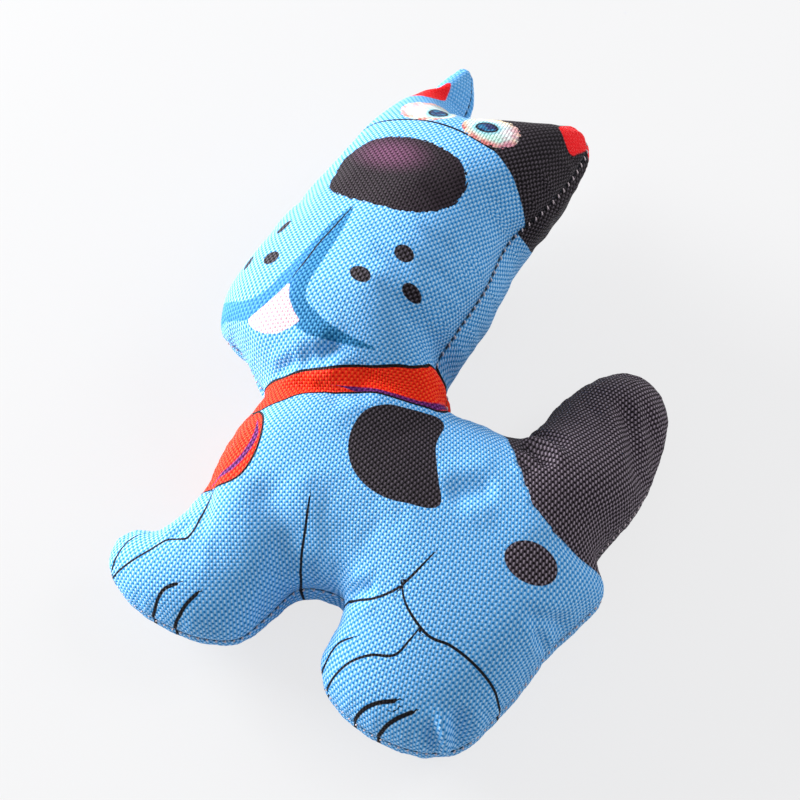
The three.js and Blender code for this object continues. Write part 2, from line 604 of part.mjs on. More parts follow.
// Clip: a half-round wedge that closes the cartridge over the reed's root
function reedClip() {
  const inner = 2 * REED_GAP + REED_THICKNESS;
  const shape = new THREE.Shape();
  const half = Math.sqrt((CARTRIDGE_RADIUS - SEAT_GAP) ** 2 - inner ** 2);
  const start = Math.atan2(inner, half);
  shape.moveTo(half, inner);
  shape.absarc(0, 0, CARTRIDGE_RADIUS - SEAT_GAP, start, Math.PI - start, false);
  shape.closePath();
  const geometry = new THREE.ExtrudeGeometry(shape, { depth: CLIP_HEIGHT, bevelEnabled: false,
    curveSegments: CARTRIDGE_FACES / 2 });
  geometry.translate(0, 0, REED_BOTTOM);
  return geometry;
}

function squeaker() {
  const group = new THREE.Group();
  group.add(
    meshOf('squeaker_base', squeakerBase(), materials.hardPlastic),
    meshOf('squeaker_bellows', squeakerBellows(), materials.softPlastic),
    meshOf('squeaker_top', squeakerTop(), materials.softPlastic),
    meshOf('reed_holder', reedHolder(), materials.hardPlastic),
    meshOf('reed', reedStrip(), materials.reed),
    meshOf('reed_clip', reedClip(), materials.hardPlastic),
  );
  group.position.set(SQUEAKER_PLACE[0], SQUEAKER_PLACE[1], SQUEAKER_BOTTOM);
  return group;
}

// The toy: its frame's origin is the middle of its footprint, on the surface that it lies on
const toy = new THREE.Group();
toy.add(
  meshOf('front_cover', clothPanel(1), materials.cloth),
  meshOf('back_cover', clothPanel(-1), materials.backCloth),
  ...stuffingPieces().map(([name, geometry]) => meshOf(name, geometry, materials.fibre)),
  squeaker(),
);
const box = new THREE.Box3().setFromObject(toy, true);
const middle = box.getCenter(new THREE.Vector3());
toy.position.set(-middle.x, -middle.y, -box.min.z);

const group = new THREE.Group();
group.add(toy);

export default group;
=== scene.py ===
"""Squeaky dog toy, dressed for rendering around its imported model.

Two panels of printed plain-weave cloth are sewn together round their edge and stuffed.
Meshes are in metres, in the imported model's frame. The flat pattern is in millimetres.
"""

import logging
import math
from dataclasses import dataclass
from enum import Enum

import bpy
import numpy as np
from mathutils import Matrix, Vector, geometry, kdtree


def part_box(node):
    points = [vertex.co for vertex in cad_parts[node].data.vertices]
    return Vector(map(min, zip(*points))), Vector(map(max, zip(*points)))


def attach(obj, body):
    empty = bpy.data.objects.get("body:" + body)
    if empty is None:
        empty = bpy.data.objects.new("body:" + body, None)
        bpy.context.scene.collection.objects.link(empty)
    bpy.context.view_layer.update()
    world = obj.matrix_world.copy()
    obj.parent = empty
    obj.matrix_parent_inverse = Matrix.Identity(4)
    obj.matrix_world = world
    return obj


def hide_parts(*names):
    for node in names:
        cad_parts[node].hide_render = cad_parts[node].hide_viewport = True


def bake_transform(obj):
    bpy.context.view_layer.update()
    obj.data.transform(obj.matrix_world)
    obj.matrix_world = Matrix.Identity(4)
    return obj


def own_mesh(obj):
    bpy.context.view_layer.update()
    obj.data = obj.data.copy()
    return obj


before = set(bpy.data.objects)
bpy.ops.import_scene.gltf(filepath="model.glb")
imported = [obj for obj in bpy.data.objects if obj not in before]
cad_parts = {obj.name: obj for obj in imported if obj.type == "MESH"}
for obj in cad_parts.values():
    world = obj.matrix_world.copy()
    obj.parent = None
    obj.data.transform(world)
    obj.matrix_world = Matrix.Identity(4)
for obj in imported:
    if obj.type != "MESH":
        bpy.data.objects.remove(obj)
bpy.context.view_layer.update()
MM = 0.001
log = logging.getLogger("squeaky_dog")

Point = tuple[float, float]
Edge = tuple[int, int]


def smooth(value: np.ndarray | float) -> np.ndarray:
    """Turns a ramp from 0 to 1 into one with soft ends."""
    ramp = np.clip(value, 0.0, 1.0)
    return ramp * ramp * (3.0 - 2.0 * ramp)


def curve_points(points: list[Point] | np.ndarray, step: float, closed: bool = True) -> np.ndarray:
    """Walks one smooth curve through some points in even steps.

    Args:
        points: The points that the curve passes through.
        step: The length of a step.
        closed: Whether the curve returns to its first point.

    Returns:
        The points of the walk, an array of rows of x and y.
    """
    given = np.asarray(points, float)
    if closed:
        around = np.vstack([given[-1], given, given[0], given[1]])
    else:
        around = np.vstack([2 * given[0] - given[1], given, 2 * given[-1] - given[-2]])
    pieces = []
    chords = 40
    along = np.linspace(0.0, 1.0, chords, endpoint=False)[:, None]
    for p0, p1, p2, p3 in zip(around, around[1:], around[2:], around[3:]):
        d0, d1, d2 = (math.sqrt(math.dist(a, b)) for a, b in ((p0, p1), (p1, p2), (p2, p3)))
        start = ((p1 - p0) / d0 - (p2 - p0) / (d0 + d1) + (p2 - p1) / d1) * d1
        end = ((p2 - p1) / d1 - (p3 - p1) / (d1 + d2) + (p3 - p2) / d2) * d1
        bend_2 = 3 * (p2 - p1) - 2 * start - end
        bend_3 = 2 * (p1 - p2) + start + end
        pieces.append(p1 + along * start + along**2 * bend_2 + along**3 * bend_3)
    pieces.append(given[:1] if closed else given[-1:])
    fine = np.vstack(pieces)
    travelled = np.concatenate([[0.0], np.cumsum(np.linalg.norm(np.diff(fine, axis=0), axis=1))])
    count = max(2, round(travelled[-1] / step))
    stops = np.linspace(0.0, travelled[-1], count + 1)
    if closed:
        stops = stops[:-1]
    return np.stack([np.interp(stops, travelled, fine[:, k]) for k in (0, 1)], axis=1)


def edge_directions(loop: np.ndarray) -> tuple[np.ndarray, np.ndarray]:
    """Finds which way a closed loop runs at each of its points, and which way its inside lies.

    Args:
        loop: The loop's points, counterclockwise.

    Returns:
        Rows of unit directions along the loop, and rows of unit directions into it.
    """
    along = np.roll(loop, -1, axis=0) - np.roll(loop, 1, axis=0)
    along /= np.linalg.norm(along, axis=1)[:, None]
    return along, np.column_stack([-along[:, 1], along[:, 0]])


def turn_rows(rows: np.ndarray, cosine: np.ndarray, sine: np.ndarray) -> np.ndarray:
    """Turns each row of x and y by its own angle."""
    x, y = rows.T
    return np.column_stack([cosine * x - sine * y, sine * x + cosine * y])


def inside(points: np.ndarray, loop: np.ndarray) -> np.ndarray:
    """Tells which points lie inside a closed loop.

    Args:
        points: The points, as rows of x and y.
        loop: The loop's points, in order.

    Returns:
        A mark for each point.
    """
    found = np.zeros(len(points), bool)
    for (ax, ay), (bx, by) in zip(loop, np.roll(loop, -1, axis=0)):
        if ay == by:
            continue
        crosses = (ay > points[:, 1]) != (by > points[:, 1])
        found ^= crosses & (points[:, 0] < (bx - ax) * (points[:, 1] - ay) / (by - ay) + ax)
    return found


@dataclass
class Nearness:
    """How points lie to an open path: the way to it, the share along it, and which side they are on."""

    points: np.ndarray
    path: np.ndarray

    def __post_init__(self) -> None:
        """Finds the nearest place on the path for each point."""
        self.distance = np.full(len(self.points), np.inf)
        self.away = np.zeros((len(self.points), 2))
        self.share = np.zeros(len(self.points))
        self.side = np.ones(len(self.points))
        last = len(self.path) - 1
        for i, (a, b) in enumerate(zip(self.path, self.path[1:])):
            run = b - a
            off = self.points - a
            t = np.clip(off @ run / (run @ run), 0.0, 1.0)
            away = off - t[:, None] * run
            gap = np.hypot(away[:, 0], away[:, 1])
            nearer = gap < self.distance
            self.distance[nearer] = gap[nearer]
            self.away[nearer] = away[nearer]
            self.share[nearer] = (i + t[nearer]) / last
            self.side[nearer] = np.sign(run[0] * off[nearer, 1] - run[1] * off[nearer, 0])


def path_distance(points: np.ndarray, path: np.ndarray) -> np.ndarray:
    """Measures how far points lie from an open path."""
    return Nearness(points, path).distance


@dataclass
class SewnEdge:
    """The sewn edge, searched quickly for the nearest place to many points."""

    points: np.ndarray
    step: float

    def __post_init__(self) -> None:
        """Sorts the edge's points for searching."""
        self.tree = kdtree.KDTree(len(self.points))
        for i, point in enumerate(self.points):
            self.tree.insert((*point, 0.0)[:3], i)
        self.tree.balance()

    def nearest(self, points: np.ndarray) -> tuple[np.ndarray, np.ndarray]:
        """The distance to the edge, and how far along it the nearest place is.

        Args:
            points: The points, as rows of x and y.

        Returns:
            The distances, and the lengths along the edge.
        """
        found = [self.tree.find((*point, 0.0)[:3])[1:] for point in points.tolist()]
        index, distance = np.array(found, float).T
        return distance, index * self.step


def closed(loop: np.ndarray) -> np.ndarray:
    """A loop with its first point repeated at its end."""
    return np.vstack([loop, loop[:1]])


def loop_distance(points: np.ndarray, loop: np.ndarray) -> np.ndarray:
    """Measures how far points lie outside a closed loop, less than 0 inside it."""
    gap = path_distance(points, closed(loop))
    return np.where(inside(points, loop), -gap, gap)


@dataclass(frozen=True)
class Limb:
    """A stretch of the sewn outline, in shares of a limb's width and length from its root."""

    root: Point
    size: Point
    shares: tuple[Point, ...]

    def points(self) -> list[Point]:
        """The stretch's points on the flat pattern."""
        (left, low), (width, length) = self.root, self.size
        return [(left + x * width, low + y * length) for x, y in self.shares]


@dataclass(frozen=True)
class DogPattern:
    """The toy's flat pattern, and how it rises, bends and lies once it is stuffed."""

    torso: Point = (100.0, 58.0)
    head: Point = (70.0, 85.0)
    ear: Point = (22.0, 22.0)
    front_leg: Point = (40.0, 30.0)
    hind_leg: Point = (46.0, 27.0)
    tail: Point = (32.0, 48.0)
    neck_shares: Point = (-0.29, 0.33)
    front_leg_shares: Point = (-0.32, -0.45)
    hind_leg_shares: Point = (0.23, -0.45)
    tail_shares: Point = (0.3, 0.36)
    left_ear_shares: Point = (-0.4, 0.99)
    right_ear_shares: Point = (0.21, 0.88)
    seam_pinch: float = 3.0
    fullness_share: float = 1.1
    head_fullness_share: float = 1.24
    flattening_depth: float = 25.0
    neck_lean: float = math.radians(15.0)
    head_roll: float = math.radians(23.0)
    neck_bend: Point = (-10.0, 20.0)
    head_lift: float = 9.5
    shoulder_start_share: float = 0.3
    shoulder_width_share: float = 0.18
    feet_droop: float = 5.6
    feet_droop_start_share: float = 0.24
    feet_droop_length: float = 30.0
    tail_droop: float = 9.5
    tail_droop_length_share: float = 0.71
    tail_side_shares: Point = (-0.75, 0.375)
    ear_curl: float = 9.5
    ear_curl_start: Point = (-57.0, 102.0)
    ear_curl_length: Point = (11.0, 10.0)
    left_ear_end: float = -38.0

    def on_torso(self, shares: Point) -> Point:
        """A place in shares of the torso from its middle."""
        return shares[0] * self.torso[0], shares[1] * self.torso[1]

    @property
    def neck(self) -> Point:
        """The neck's root."""
        return self.on_torso(self.neck_shares)

    @property
    def tail_root(self) -> Point:
        """The tail's root."""
        return self.on_torso(self.tail_shares)

    @property
    def neck_axis(self) -> np.ndarray:
        """The direction of the neck, from the body to the head."""
        return np.array([-math.sin(self.neck_lean), math.cos(self.neck_lean)])

    @property
    def neck_across(self) -> np.ndarray:
        """The direction across the neck."""
        return np.array([math.cos(self.neck_lean), math.sin(self.neck_lean)])

    def on_head(self, shares: Point) -> Point:
        """A place in shares of the head from the neck."""
        return self.neck[0] + shares[0] * self.head[0], self.neck[1] + shares[1] * self.head[1]

    def limbs(self) -> list[Limb]:
        """The outline's stretches, counterclockwise from the tip of the left ear.

        Returns:
            The stretches, in the order in which the outline passes them.
        """
        middle = (0.0, 0.0)
        left_ear, right_ear = self.on_head(self.left_ear_shares), self.on_head(self.right_ear_shares)
        front, hind = self.on_torso(self.front_leg_shares), self.on_torso(self.hind_leg_shares)
        cheek = ((-0.545, 0.89), (-0.572, 0.74), (-0.598, 0.567), (-0.64, 0.39), (-0.668, 0.23))
        jaw = ((-0.73, 0.115), (-0.655, 0), (-0.515, -0.038), (-0.39, -0.1))
        front_foot = (
            (-0.47, -0.15), (-0.545, -0.335), (-0.69, -0.41), (-0.765, -0.58), (-0.69, -0.83),
            (-0.45, -0.985), (-0.155, -1.005), (0.1, -0.94), (0.29, -0.785), (0.37, -0.5),
        )  # fmt: skip
        hind_foot = (
            (-0.535, -0.29), (-0.53, -0.63), (-0.425, -0.86), (-0.215, -0.99), (0.017, -0.995),
            (0.213, -0.905), (0.365, -0.705), (0.44, -0.355), (0.495, 0.03),
        )  # fmt: skip
        tail = (
            (0.515, -0.06), (0.575, 0.2), (0.5, 0.64), (0.38, 0.875), (0.145, 1.005),
            (-0.11, 1.01), (-0.34, 0.835), (-0.468, 0.58), (-0.48, 0.362),
        )  # fmt: skip
        chest = ((-0.494, 0.1), (-0.506, -0.038), (-0.504, -0.214), (-0.488, -0.376))
        temple = ((0.25, 0.166), (0.275, 0.26), (0.29, 0.428), (0.27, 0.613), (0.326, 0.75))
        return [
            Limb(left_ear, self.ear, ((-0.06, 0.99), (-0.15, 0.76), (-0.22, 0.43), (-0.37, 0.04))),
            Limb(self.neck, self.head, cheek + jaw),
            Limb(middle, self.torso, chest),
            Limb(front, self.front_leg, front_foot),
            Limb(middle, self.torso, ((-0.144, -0.56), (-0.097, -0.514), (-0.034, -0.505))),
            Limb(hind, self.hind_leg, hind_foot),
            Limb(middle, self.torso, ((0.47, -0.265), (0.499, -0.09), (0.516, 0.083), (0.459, 0.198))),
            Limb(self.tail_root, self.tail, tail),
            Limb(middle, self.torso, ((0.125, 0.507), (0.037, 0.49), (-0.041, 0.43), (-0.064, 0.507))),
            Limb(self.neck, self.head, temple),
            Limb(right_ear, self.ear, ((0.455, 0.2), (0.395, 0.6), (0.02, 0.78), (-0.24, 0.56))),
            Limb(self.neck, self.head, ((-0.05, 0.98),)),
            Limb(left_ear, self.ear, ((0.49, 0.05), (0.35, 0.62), (0.12, 0.96))),
        ]

    def outline(self, step: float) -> np.ndarray:
        """The sewn edge, walked in even steps."""
        return curve_points([point for limb in self.limbs() for point in limb.points()], step)

    def along_neck(self, flat: np.ndarray) -> np.ndarray:
        """How far past the neck's root each point of the pattern lies, along the neck."""
        return (flat - np.array(self.neck)) @ self.neck_axis

    def head_share(self, flat: np.ndarray) -> np.ndarray:
        """1 on the head, 0 on the body, and a smooth change through the neck.

        Args:
            flat: Points on the flat pattern, as rows of x and y.

        Returns:
            The share for each point.
        """
        below, above = self.neck_bend
        bent = smooth((self.along_neck(flat) - below) / (above - below))
        shoulder = self.on_head((self.shoulder_start_share, 0.0))[0]
        return bent * (1 - smooth((flat[:, 0] - shoulder) / (self.shoulder_width_share * self.torso[0])))

    def tail_share(self, flat: np.ndarray) -> np.ndarray:
        """0 at the tail's root and on the body, and 1 towards the tail's tip.

        Args:
            flat: Points on the flat pattern, as rows of x and y.

        Returns:
            The share for each point.
        """
        start, width = (share * self.tail[0] for share in self.tail_side_shares)
        beside = smooth((flat[:, 0] - self.tail_root[0] - start) / width)
        length = self.tail_droop_length_share * self.tail[1]
        return beside * smooth((flat[:, 1] - self.tail_root[1]) / length)

    def curl(self, flat: np.ndarray) -> np.ndarray:
        """How far the left ear's right side curls back.

        Args:
            flat: Points on the flat pattern, as rows of x and y.

        Returns:
            How far each point curls back, in millimetres.
        """
        across, along = ((flat - np.array(self.ear_curl_start)) / np.array(self.ear_curl_length)).T
        in_ear = np.where(flat[:, 0] < self.left_ear_end, smooth(along), 0.0)
        return self.ear_curl * in_ear * np.clip(across, 0.0, 1.2) ** 2

    def half_thickness(self, flat: np.ndarray, pushed: np.ndarray) -> np.ndarray:
        """Half of the toy's thickness where the stuffing's push has raised the cloth by pushed.

        Args:
            flat: Points on the flat pattern, as rows of x and y.
            pushed: How far the push has raised each point.

        Returns:
            The half thickness at each point, in millimetres.
        """
        rounded = np.sqrt(2 * np.maximum(pushed, 0.0) + self.seam_pinch**2) - self.seam_pinch
        fullness = self.fullness_share * (1 + (self.head_fullness_share - 1) * self.head_share(flat))
        return fullness * rounded / np.sqrt(1 + (rounded / self.flattening_depth) ** 2)

    def bent(self, flat: np.ndarray, height: np.ndarray) -> np.ndarray:
        """Where points of the stuffed pattern lie once the head has rolled and the feet and tail droop.

        Args:
            flat: Rows of x and y on the flat pattern.
            height: How far each point lies above the seam's plane.

        Returns:
            Rows of x, y and z in millimetres.
        """
        share = self.head_share(flat)
        roll = self.head_roll * share
        off = flat - np.array(self.neck)
        across = off @ self.neck_across
        turned = across * np.cos(roll) - height * np.sin(roll)
        raised = across * np.sin(roll) + height * np.cos(roll) + self.head_lift * share
        place = np.array(self.neck) + np.outer(off @ self.neck_axis, self.neck_axis)
        place = place + np.outer(turned, self.neck_across)
        feet = smooth((-flat[:, 1] - self.feet_droop_start_share * self.torso[1]) / self.feet_droop_length)
        droop = self.feet_droop * feet + self.tail_droop * self.tail_share(flat)
        return np.column_stack([place, raised - droop - self.curl(flat)])


@dataclass
class PatternMesh:
    """The flat pattern cut into triangles, with how far the stuffing pushes each point up."""

    pattern: DogPattern
    spacing: float
    cut_line: np.ndarray
    edge_rings: tuple[float, ...] = (0.7, 1.8)

    def __post_init__(self) -> None:
        """Cuts the pattern and finds its rise."""
        self.edge = self.pattern.outline(self.spacing)
        self.flat, self.triangles, self.on_edge = self.cut()
        self.pushed = self.push()
        self.height = self.pattern.half_thickness(self.flat, self.pushed)
        self.height[self.on_edge] = 0.0

    def inward(self) -> np.ndarray:
        """Unit directions from the edge's points into the pattern."""
        return edge_directions(self.edge)[1]

    def candidates(self) -> np.ndarray:
        """The edge, rings just inside it, and an even grid over the middle.

        Returns:
            The points, as rows of x and y.
        """
        spacing = self.spacing
        groups = [self.edge]
        loop = np.vstack([self.edge, self.edge[:1]])
        for depth in self.edge_rings:
            ring = self.edge + self.inward() * depth
            groups.append(ring[path_distance(ring, loop) > 0.85 * depth])
        low, high = self.edge.min(axis=0), self.edge.max(axis=0)
        rows = np.arange(low[1], high[1], spacing * math.sqrt(0.75))
        grid = np.vstack([
            np.column_stack([xs, np.full(len(xs), y)])
            for i, y in enumerate(rows)
            for xs in [np.arange(low[0] + (i % 2) * spacing / 2, high[0], spacing)]
        ])  # fmt: skip
        grid = grid[inside(grid, self.edge)]
        margin = self.edge_rings[-1] + 0.55 * spacing
        grid = grid[path_distance(grid, loop) > margin]
        grid = grid[path_distance(grid, self.cut_line) > 0.5 * spacing]
        groups.append(grid)
        groups.append(self.cut_line)
        return np.vstack(groups)

    def cut(self) -> tuple[np.ndarray, np.ndarray, np.ndarray]:
        """Delaunay triangles of the pattern, with the edge and the cut line kept as edges.

        Returns:
            The points, the triangles' corners, and a mark for each point on the edge.
        """
        points = self.candidates()
        count = len(self.edge)
        edges = [(i, (i + 1) % count) for i in range(count)]
        first = len(points) - len(self.cut_line)
        edges += [(first + i, first + i + 1) for i in range(len(self.cut_line) - 1)]
        made = geometry.delaunay_2d_cdt([Vector(p) for p in points], edges, [], 0, 1e-4, True)
        flat = np.array([tuple(v) for v in made[0]])
        triangles = np.array([face for face in made[2] if len(face) == 3])
        triangles = triangles[inside(flat[triangles].mean(axis=1), self.edge)]
        a, b, c = (flat[triangles[:, k]] for k in range(3))
        area = (b[:, 0] - a[:, 0]) * (c[:, 1] - a[:, 1]) - (b[:, 1] - a[:, 1]) * (c[:, 0] - a[:, 0])
        triangles[area < 0] = triangles[area < 0][:, ::-1]
        triangles = triangles[np.abs(area) > 1e-6]
        used = np.unique(triangles)
        renumbered = np.full(len(flat), -1)
        renumbered[used] = np.arange(len(used))
        triangles = renumbered[triangles]
        flat = flat[used]
        sides = np.vstack([triangles[:, [0, 1]], triangles[:, [1, 2]], triangles[:, [2, 0]]])
        sides = np.sort(sides, axis=1)
        unique, times = np.unique(sides, axis=0, return_counts=True)
        on_edge = np.zeros(len(flat), bool)
        on_edge[np.unique(unique[times == 1])] = True
        return flat, triangles, on_edge

    def unrolled(self, places: np.ndarray) -> np.ndarray:
        """Lays the stuffed front flat again with the least stretch, as the cloth was cut.

        Args:
            places: Where each point of the pattern lies on the stuffed toy.

        Returns:
            Rows of x and y, near to the pattern's own.
        """
        count = len(self.flat)
        corners = [places[self.triangles[:, k]] for k in range(3)]
        long_side = corners[1] - corners[0]
        length = np.linalg.norm(long_side, axis=1)
        reach = ((corners[2] - corners[0]) * long_side).sum(axis=1) / length
        height = np.linalg.norm(np.cross(long_side, corners[2] - corners[0]), axis=1) / length
        zero = np.zeros(len(length))
        local = [np.column_stack(pair) for pair in ((zero, zero), (length, zero), (reach, height))]
        sides = []
        total = np.zeros(count)
        for k in range(3):
            a, b, c = (k + 1) % 3, (k + 2) % 3, k
            u, v = local[a] - local[c], local[b] - local[c]
            cross = np.abs(u[:, 0] * v[:, 1] - u[:, 1] * v[:, 0])
            pull = np.maximum((u * v).sum(axis=1) / cross / 2, 0.02)
            sides.append((self.triangles[:, a], self.triangles[:, b], pull, local[a] - local[b]))
            total += np.bincount(self.triangles[:, a], pull, count)
            total += np.bincount(self.triangles[:, b], pull, count)

        def spread(start: np.ndarray, end: np.ndarray, pull: np.ndarray, step: np.ndarray) -> np.ndarray:
            """Adds each side's pull to its two ends.

            Args:
                start: The first end of each side.
                end: The second end of each side.
                pull: How strongly each side pulls.
                step: The way from the second end to the first.

            Returns:
                The sum of the pulls on each point.
            """
            pulled = pull[:, None] * step
            return np.column_stack([
                np.bincount(start, pulled[:, k], count) - np.bincount(end, pulled[:, k], count)
                for k in (0, 1)
            ])

        laid = self.flat * 1.1
        for _ in range(14):
            along, across = np.zeros(len(length)), np.zeros(len(length))
            for start, end, pull, rest in sides:
                now = laid[start] - laid[end]
                along += pull * (now * rest).sum(axis=1)
                across += pull * (now[:, 1] * rest[:, 0] - now[:, 0] * rest[:, 1])
            size = np.hypot(along, across)
            cosine, sine = along / size, across / size
            wanted = np.zeros((count, 2))
            for start, end, pull, rest in sides:
                wanted += spread(start, end, pull, turn_rows(rest, cosine, sine))
            left = wanted - sum(spread(s, e, pull, laid[s] - laid[e]) for s, e, pull, _ in sides)
            scaled = left / total[:, None]
            heading = scaled.copy()
            power = (left * scaled).sum()
            for _ in range(120):
                back = sum(spread(s, e, pull, heading[s] - heading[e]) for s, e, pull, _ in sides)
                stride = power / (heading * back).sum()
                laid = laid + stride * heading
                left = left - stride * back
                scaled = left / total[:, None]
                new_power = (left * scaled).sum()
                if new_power < 1e-6:
                    break
                heading = scaled + (new_power / power) * heading
                power = new_power
        return laid

    def push(self) -> np.ndarray:
        """Solves how a sheet held at its edge rises under the stuffing's even push.

        Returns:
            How far each point rises, for a push of 1.
        """
        count = len(self.flat)
        rows, columns, weights = [], [], []
        area = np.zeros(count)
        for k in range(3):
            a, b, c = (self.triangles[:, (k + j) % 3] for j in range(3))
            u, v = self.flat[a] - self.flat[c], self.flat[b] - self.flat[c]
            cross = np.abs(u[:, 0] * v[:, 1] - u[:, 1] * v[:, 0])
            pull = (u * v).sum(axis=1) / cross / 2
            rows += [a, b]
            columns += [b, a]
            weights += [pull, pull]
            area += np.bincount(a, cross / 6, count)
        row, column, weight = (np.concatenate(part) for part in (rows, columns, weights))
        total = np.bincount(row, weight, count)
        free = ~self.on_edge

        def pulled(rise: np.ndarray) -> np.ndarray:
            """The sheet's pull back on each free point."""
            return (total * rise - np.bincount(row, weight * rise[column], count)) * free

        rise = np.zeros(count)
        left = area * free
        scaled = left / total
        heading = scaled.copy()
        size = left @ scaled
        for _ in range(2000):
            back = pulled(heading)
            stride = size / (heading @ back)
            rise += stride * heading
            left -= stride * back
            scaled = left / total
            new_size = left @ scaled
            if new_size < 1e-14 * area.sum():
                break
            heading = scaled + (new_size / size) * heading
            size = new_size
        return rise


class Body(Enum):
    """The moving bodies of the imported model."""

    TORSO = "body"
    HEAD = "head"
    TAIL = "tail"


@dataclass(frozen=True)
class Crease:
    """A fold pressed into the stuffed cloth."""

    points: tuple[Point, ...]
    depth: float
    width: float
    on_back: bool = False

    def press(self, flat: np.ndarray) -> np.ndarray:
        """How far the fold moves each point of the cloth out, less than 0 where it sinks.

        Args:
            flat: The points on the flat pattern.

        Returns:
            The movement of each point, in millimetres.
        """
        near = Nearness(flat, curve_points(list(self.points), 1.0, closed=False))
        ends = smooth(near.share / 0.3) * smooth((1 - near.share) / 0.3)
        reach = near.distance / self.width
        lips = 0.35 * np.exp(-((reach - 1.9) ** 2))
        return self.depth * (lips - np.exp(-(reach**2))) * ends


CREASES = (
    Crease(((-41.8, 10.6), (-38, 15.3), (-32, 20), (-26.4, 23)), 1.3, 2.2),
    Crease(((-48, 8.7), (-44, 11.5), (-40.8, 14.8)), 0.9, 1.6),
    Crease(((-31, 22.1), (-33.2, 18.6), (-35.8, 15.2)), 0.8, 1.5),
    Crease(((12.6, 27), (15.7, 30.6), (22, 31), (27, 28)), 1.0, 1.8, True),
    Crease(((15.4, 23.6), (19.4, 24.6), (22.8, 22.8), (25.6, 19.4)), 1.8, 2.0),
    Crease(((14, 26.6), (18.3, 28.6), (23.2, 27.8), (28, 24.2)), -0.45, 1.2),
    Crease(((17.3, 19.1), (20.4, 18.6), (23.6, 16.6)), 0.9, 1.4),
    Crease(((28.3, 56.8), (34, 50.3), (39, 44), (43.5, 36), (45, 31)), 1.5, 2.4, True),
    Crease(((33, 61), (39.5, 54.2), (43.8, 47), (46.2, 39)), 0.9, 1.6),
    Crease(((41, -16.5), (43.7, -16.2), (46.3, -15)), 1.1, 1.5, True),
    Crease(((36.4, -14.7), (40.5, -13.6), (45, -10.7), (48.4, -6.4)), 1.0, 1.9),
    Crease(((29.6, -45.3), (32.4, -46.8), (34.6, -48), (36, -48.6)), 0.9, 1.4, True),
    Crease(((34.2, -38), (37, -42), (39.6, -44.8), (42, -47)), 1.6, 2.4),
    Crease(((31.6, -41.4), (34.6, -45), (37.4, -48.2), (40, -51)), -1.1, 1.2),
    Crease(((-2.2, -29.6), (1.7, -28.6), (5.4, -26.4)), 1.2, 1.9, True),
    Crease(((-16, -35.7), (-17.9, -40.4), (-19.2, -45.8)), 0.6, 1.5),
    Crease(((-43.7, -32.4), (-45.8, -36.3), (-46.7, -40.4)), 0.8, 1.6, True),
    Crease(((-34, -15.8), (-28.6, -21.5), (-20.3, -27), (-14.3, -31)), 1.7, 4.6),
    Crease(((8.5, -1), (12.4, 4.6), (18.5, 8.5)), 1.3, 3.2),
)


class Ink(Enum):
    """The printed areas whose edges the cloth's mesh carries, as attribute names."""

    BLACK = "print_black"
    NOSE = "print_nose"
    SHADE = "print_shade"
    TONGUE = "print_tongue"
    RED = "print_red"
    PINK = "print_ear"
    LINE = "print_line"
    PURPLE = "print_purple"
    EYE = "print_eye"
    IRIS = "print_iris"


@dataclass(frozen=True)
class Patch:
    """A printed area of one colour, inside a loop on the flat pattern."""

    ink: Ink
    points: tuple[Point, ...]
    rounded: bool = True

    def loop(self) -> np.ndarray:
        """The area's edge.

        Returns:
            The edge's points, as rows of x and y.
        """
        if self.rounded:
            return curve_points(list(self.points), 0.8)
        return np.array(self.points, float)


@dataclass(frozen=True)
class Stroke:
    """A printed line, widest near its middle."""

    ink: Ink
    half_width: float
    points: tuple[Point, ...]
    start_share: float = 0.3
    end_share: float = 0.3

    def path(self) -> np.ndarray:
        """The line's middle."""
        return curve_points(list(self.points), 0.8, closed=False)

    def half_widths(self, share: np.ndarray) -> np.ndarray:
        """Half of the line's width at shares of its length.

        Args:
            share: Shares of the line's length, from 0 to 1.

        Returns:
            The half width at each share.
        """
        ends = smooth(share / 0.25) * (1 - self.start_share) + self.start_share
        tips = smooth((1 - share) / 0.25) * (1 - self.end_share) + self.end_share
        return self.half_width * ends * tips


def oval(ink: Ink, centre: Point, half: Point, degrees: float) -> Patch:
    """A printed oval.

    Args:
        ink: Its colour.
        centre: Its middle on the flat pattern.
        half: Half of its length and width.
        degrees: How far its length is turned from the pattern's x axis.

    Returns:
        The printed area.
    """
    turn = math.radians(degrees)
    points = []
    for i in range(12):
        a = math.tau * i / 12
        x, y = half[0] * math.cos(a), half[1] * math.sin(a)
        turned = (x * math.cos(turn) - y * math.sin(turn), x * math.sin(turn) + y * math.cos(turn))
        points.append((centre[0] + turned[0], centre[1] + turned[1]))
    return Patch(ink, tuple(points))


BACK_PRINT_LAGS = (((-9.0, 77.0), 14.0, 6.0), ((-12.0, 34.0), 9.0, -6.5))
TAIL_CUT = ((10, 27), (12, 25), (16.3, 20.3), (20, 16), (22.7, 13), (27, 9), (34, 6.5), (43, 6), (52, 7.5))

TAIL_LOOP = TAIL_CUT + ((75, 10), (75, 85), (-5, 85), (-5, 40), (5, 31))
STITCH_PITCH = 2.35

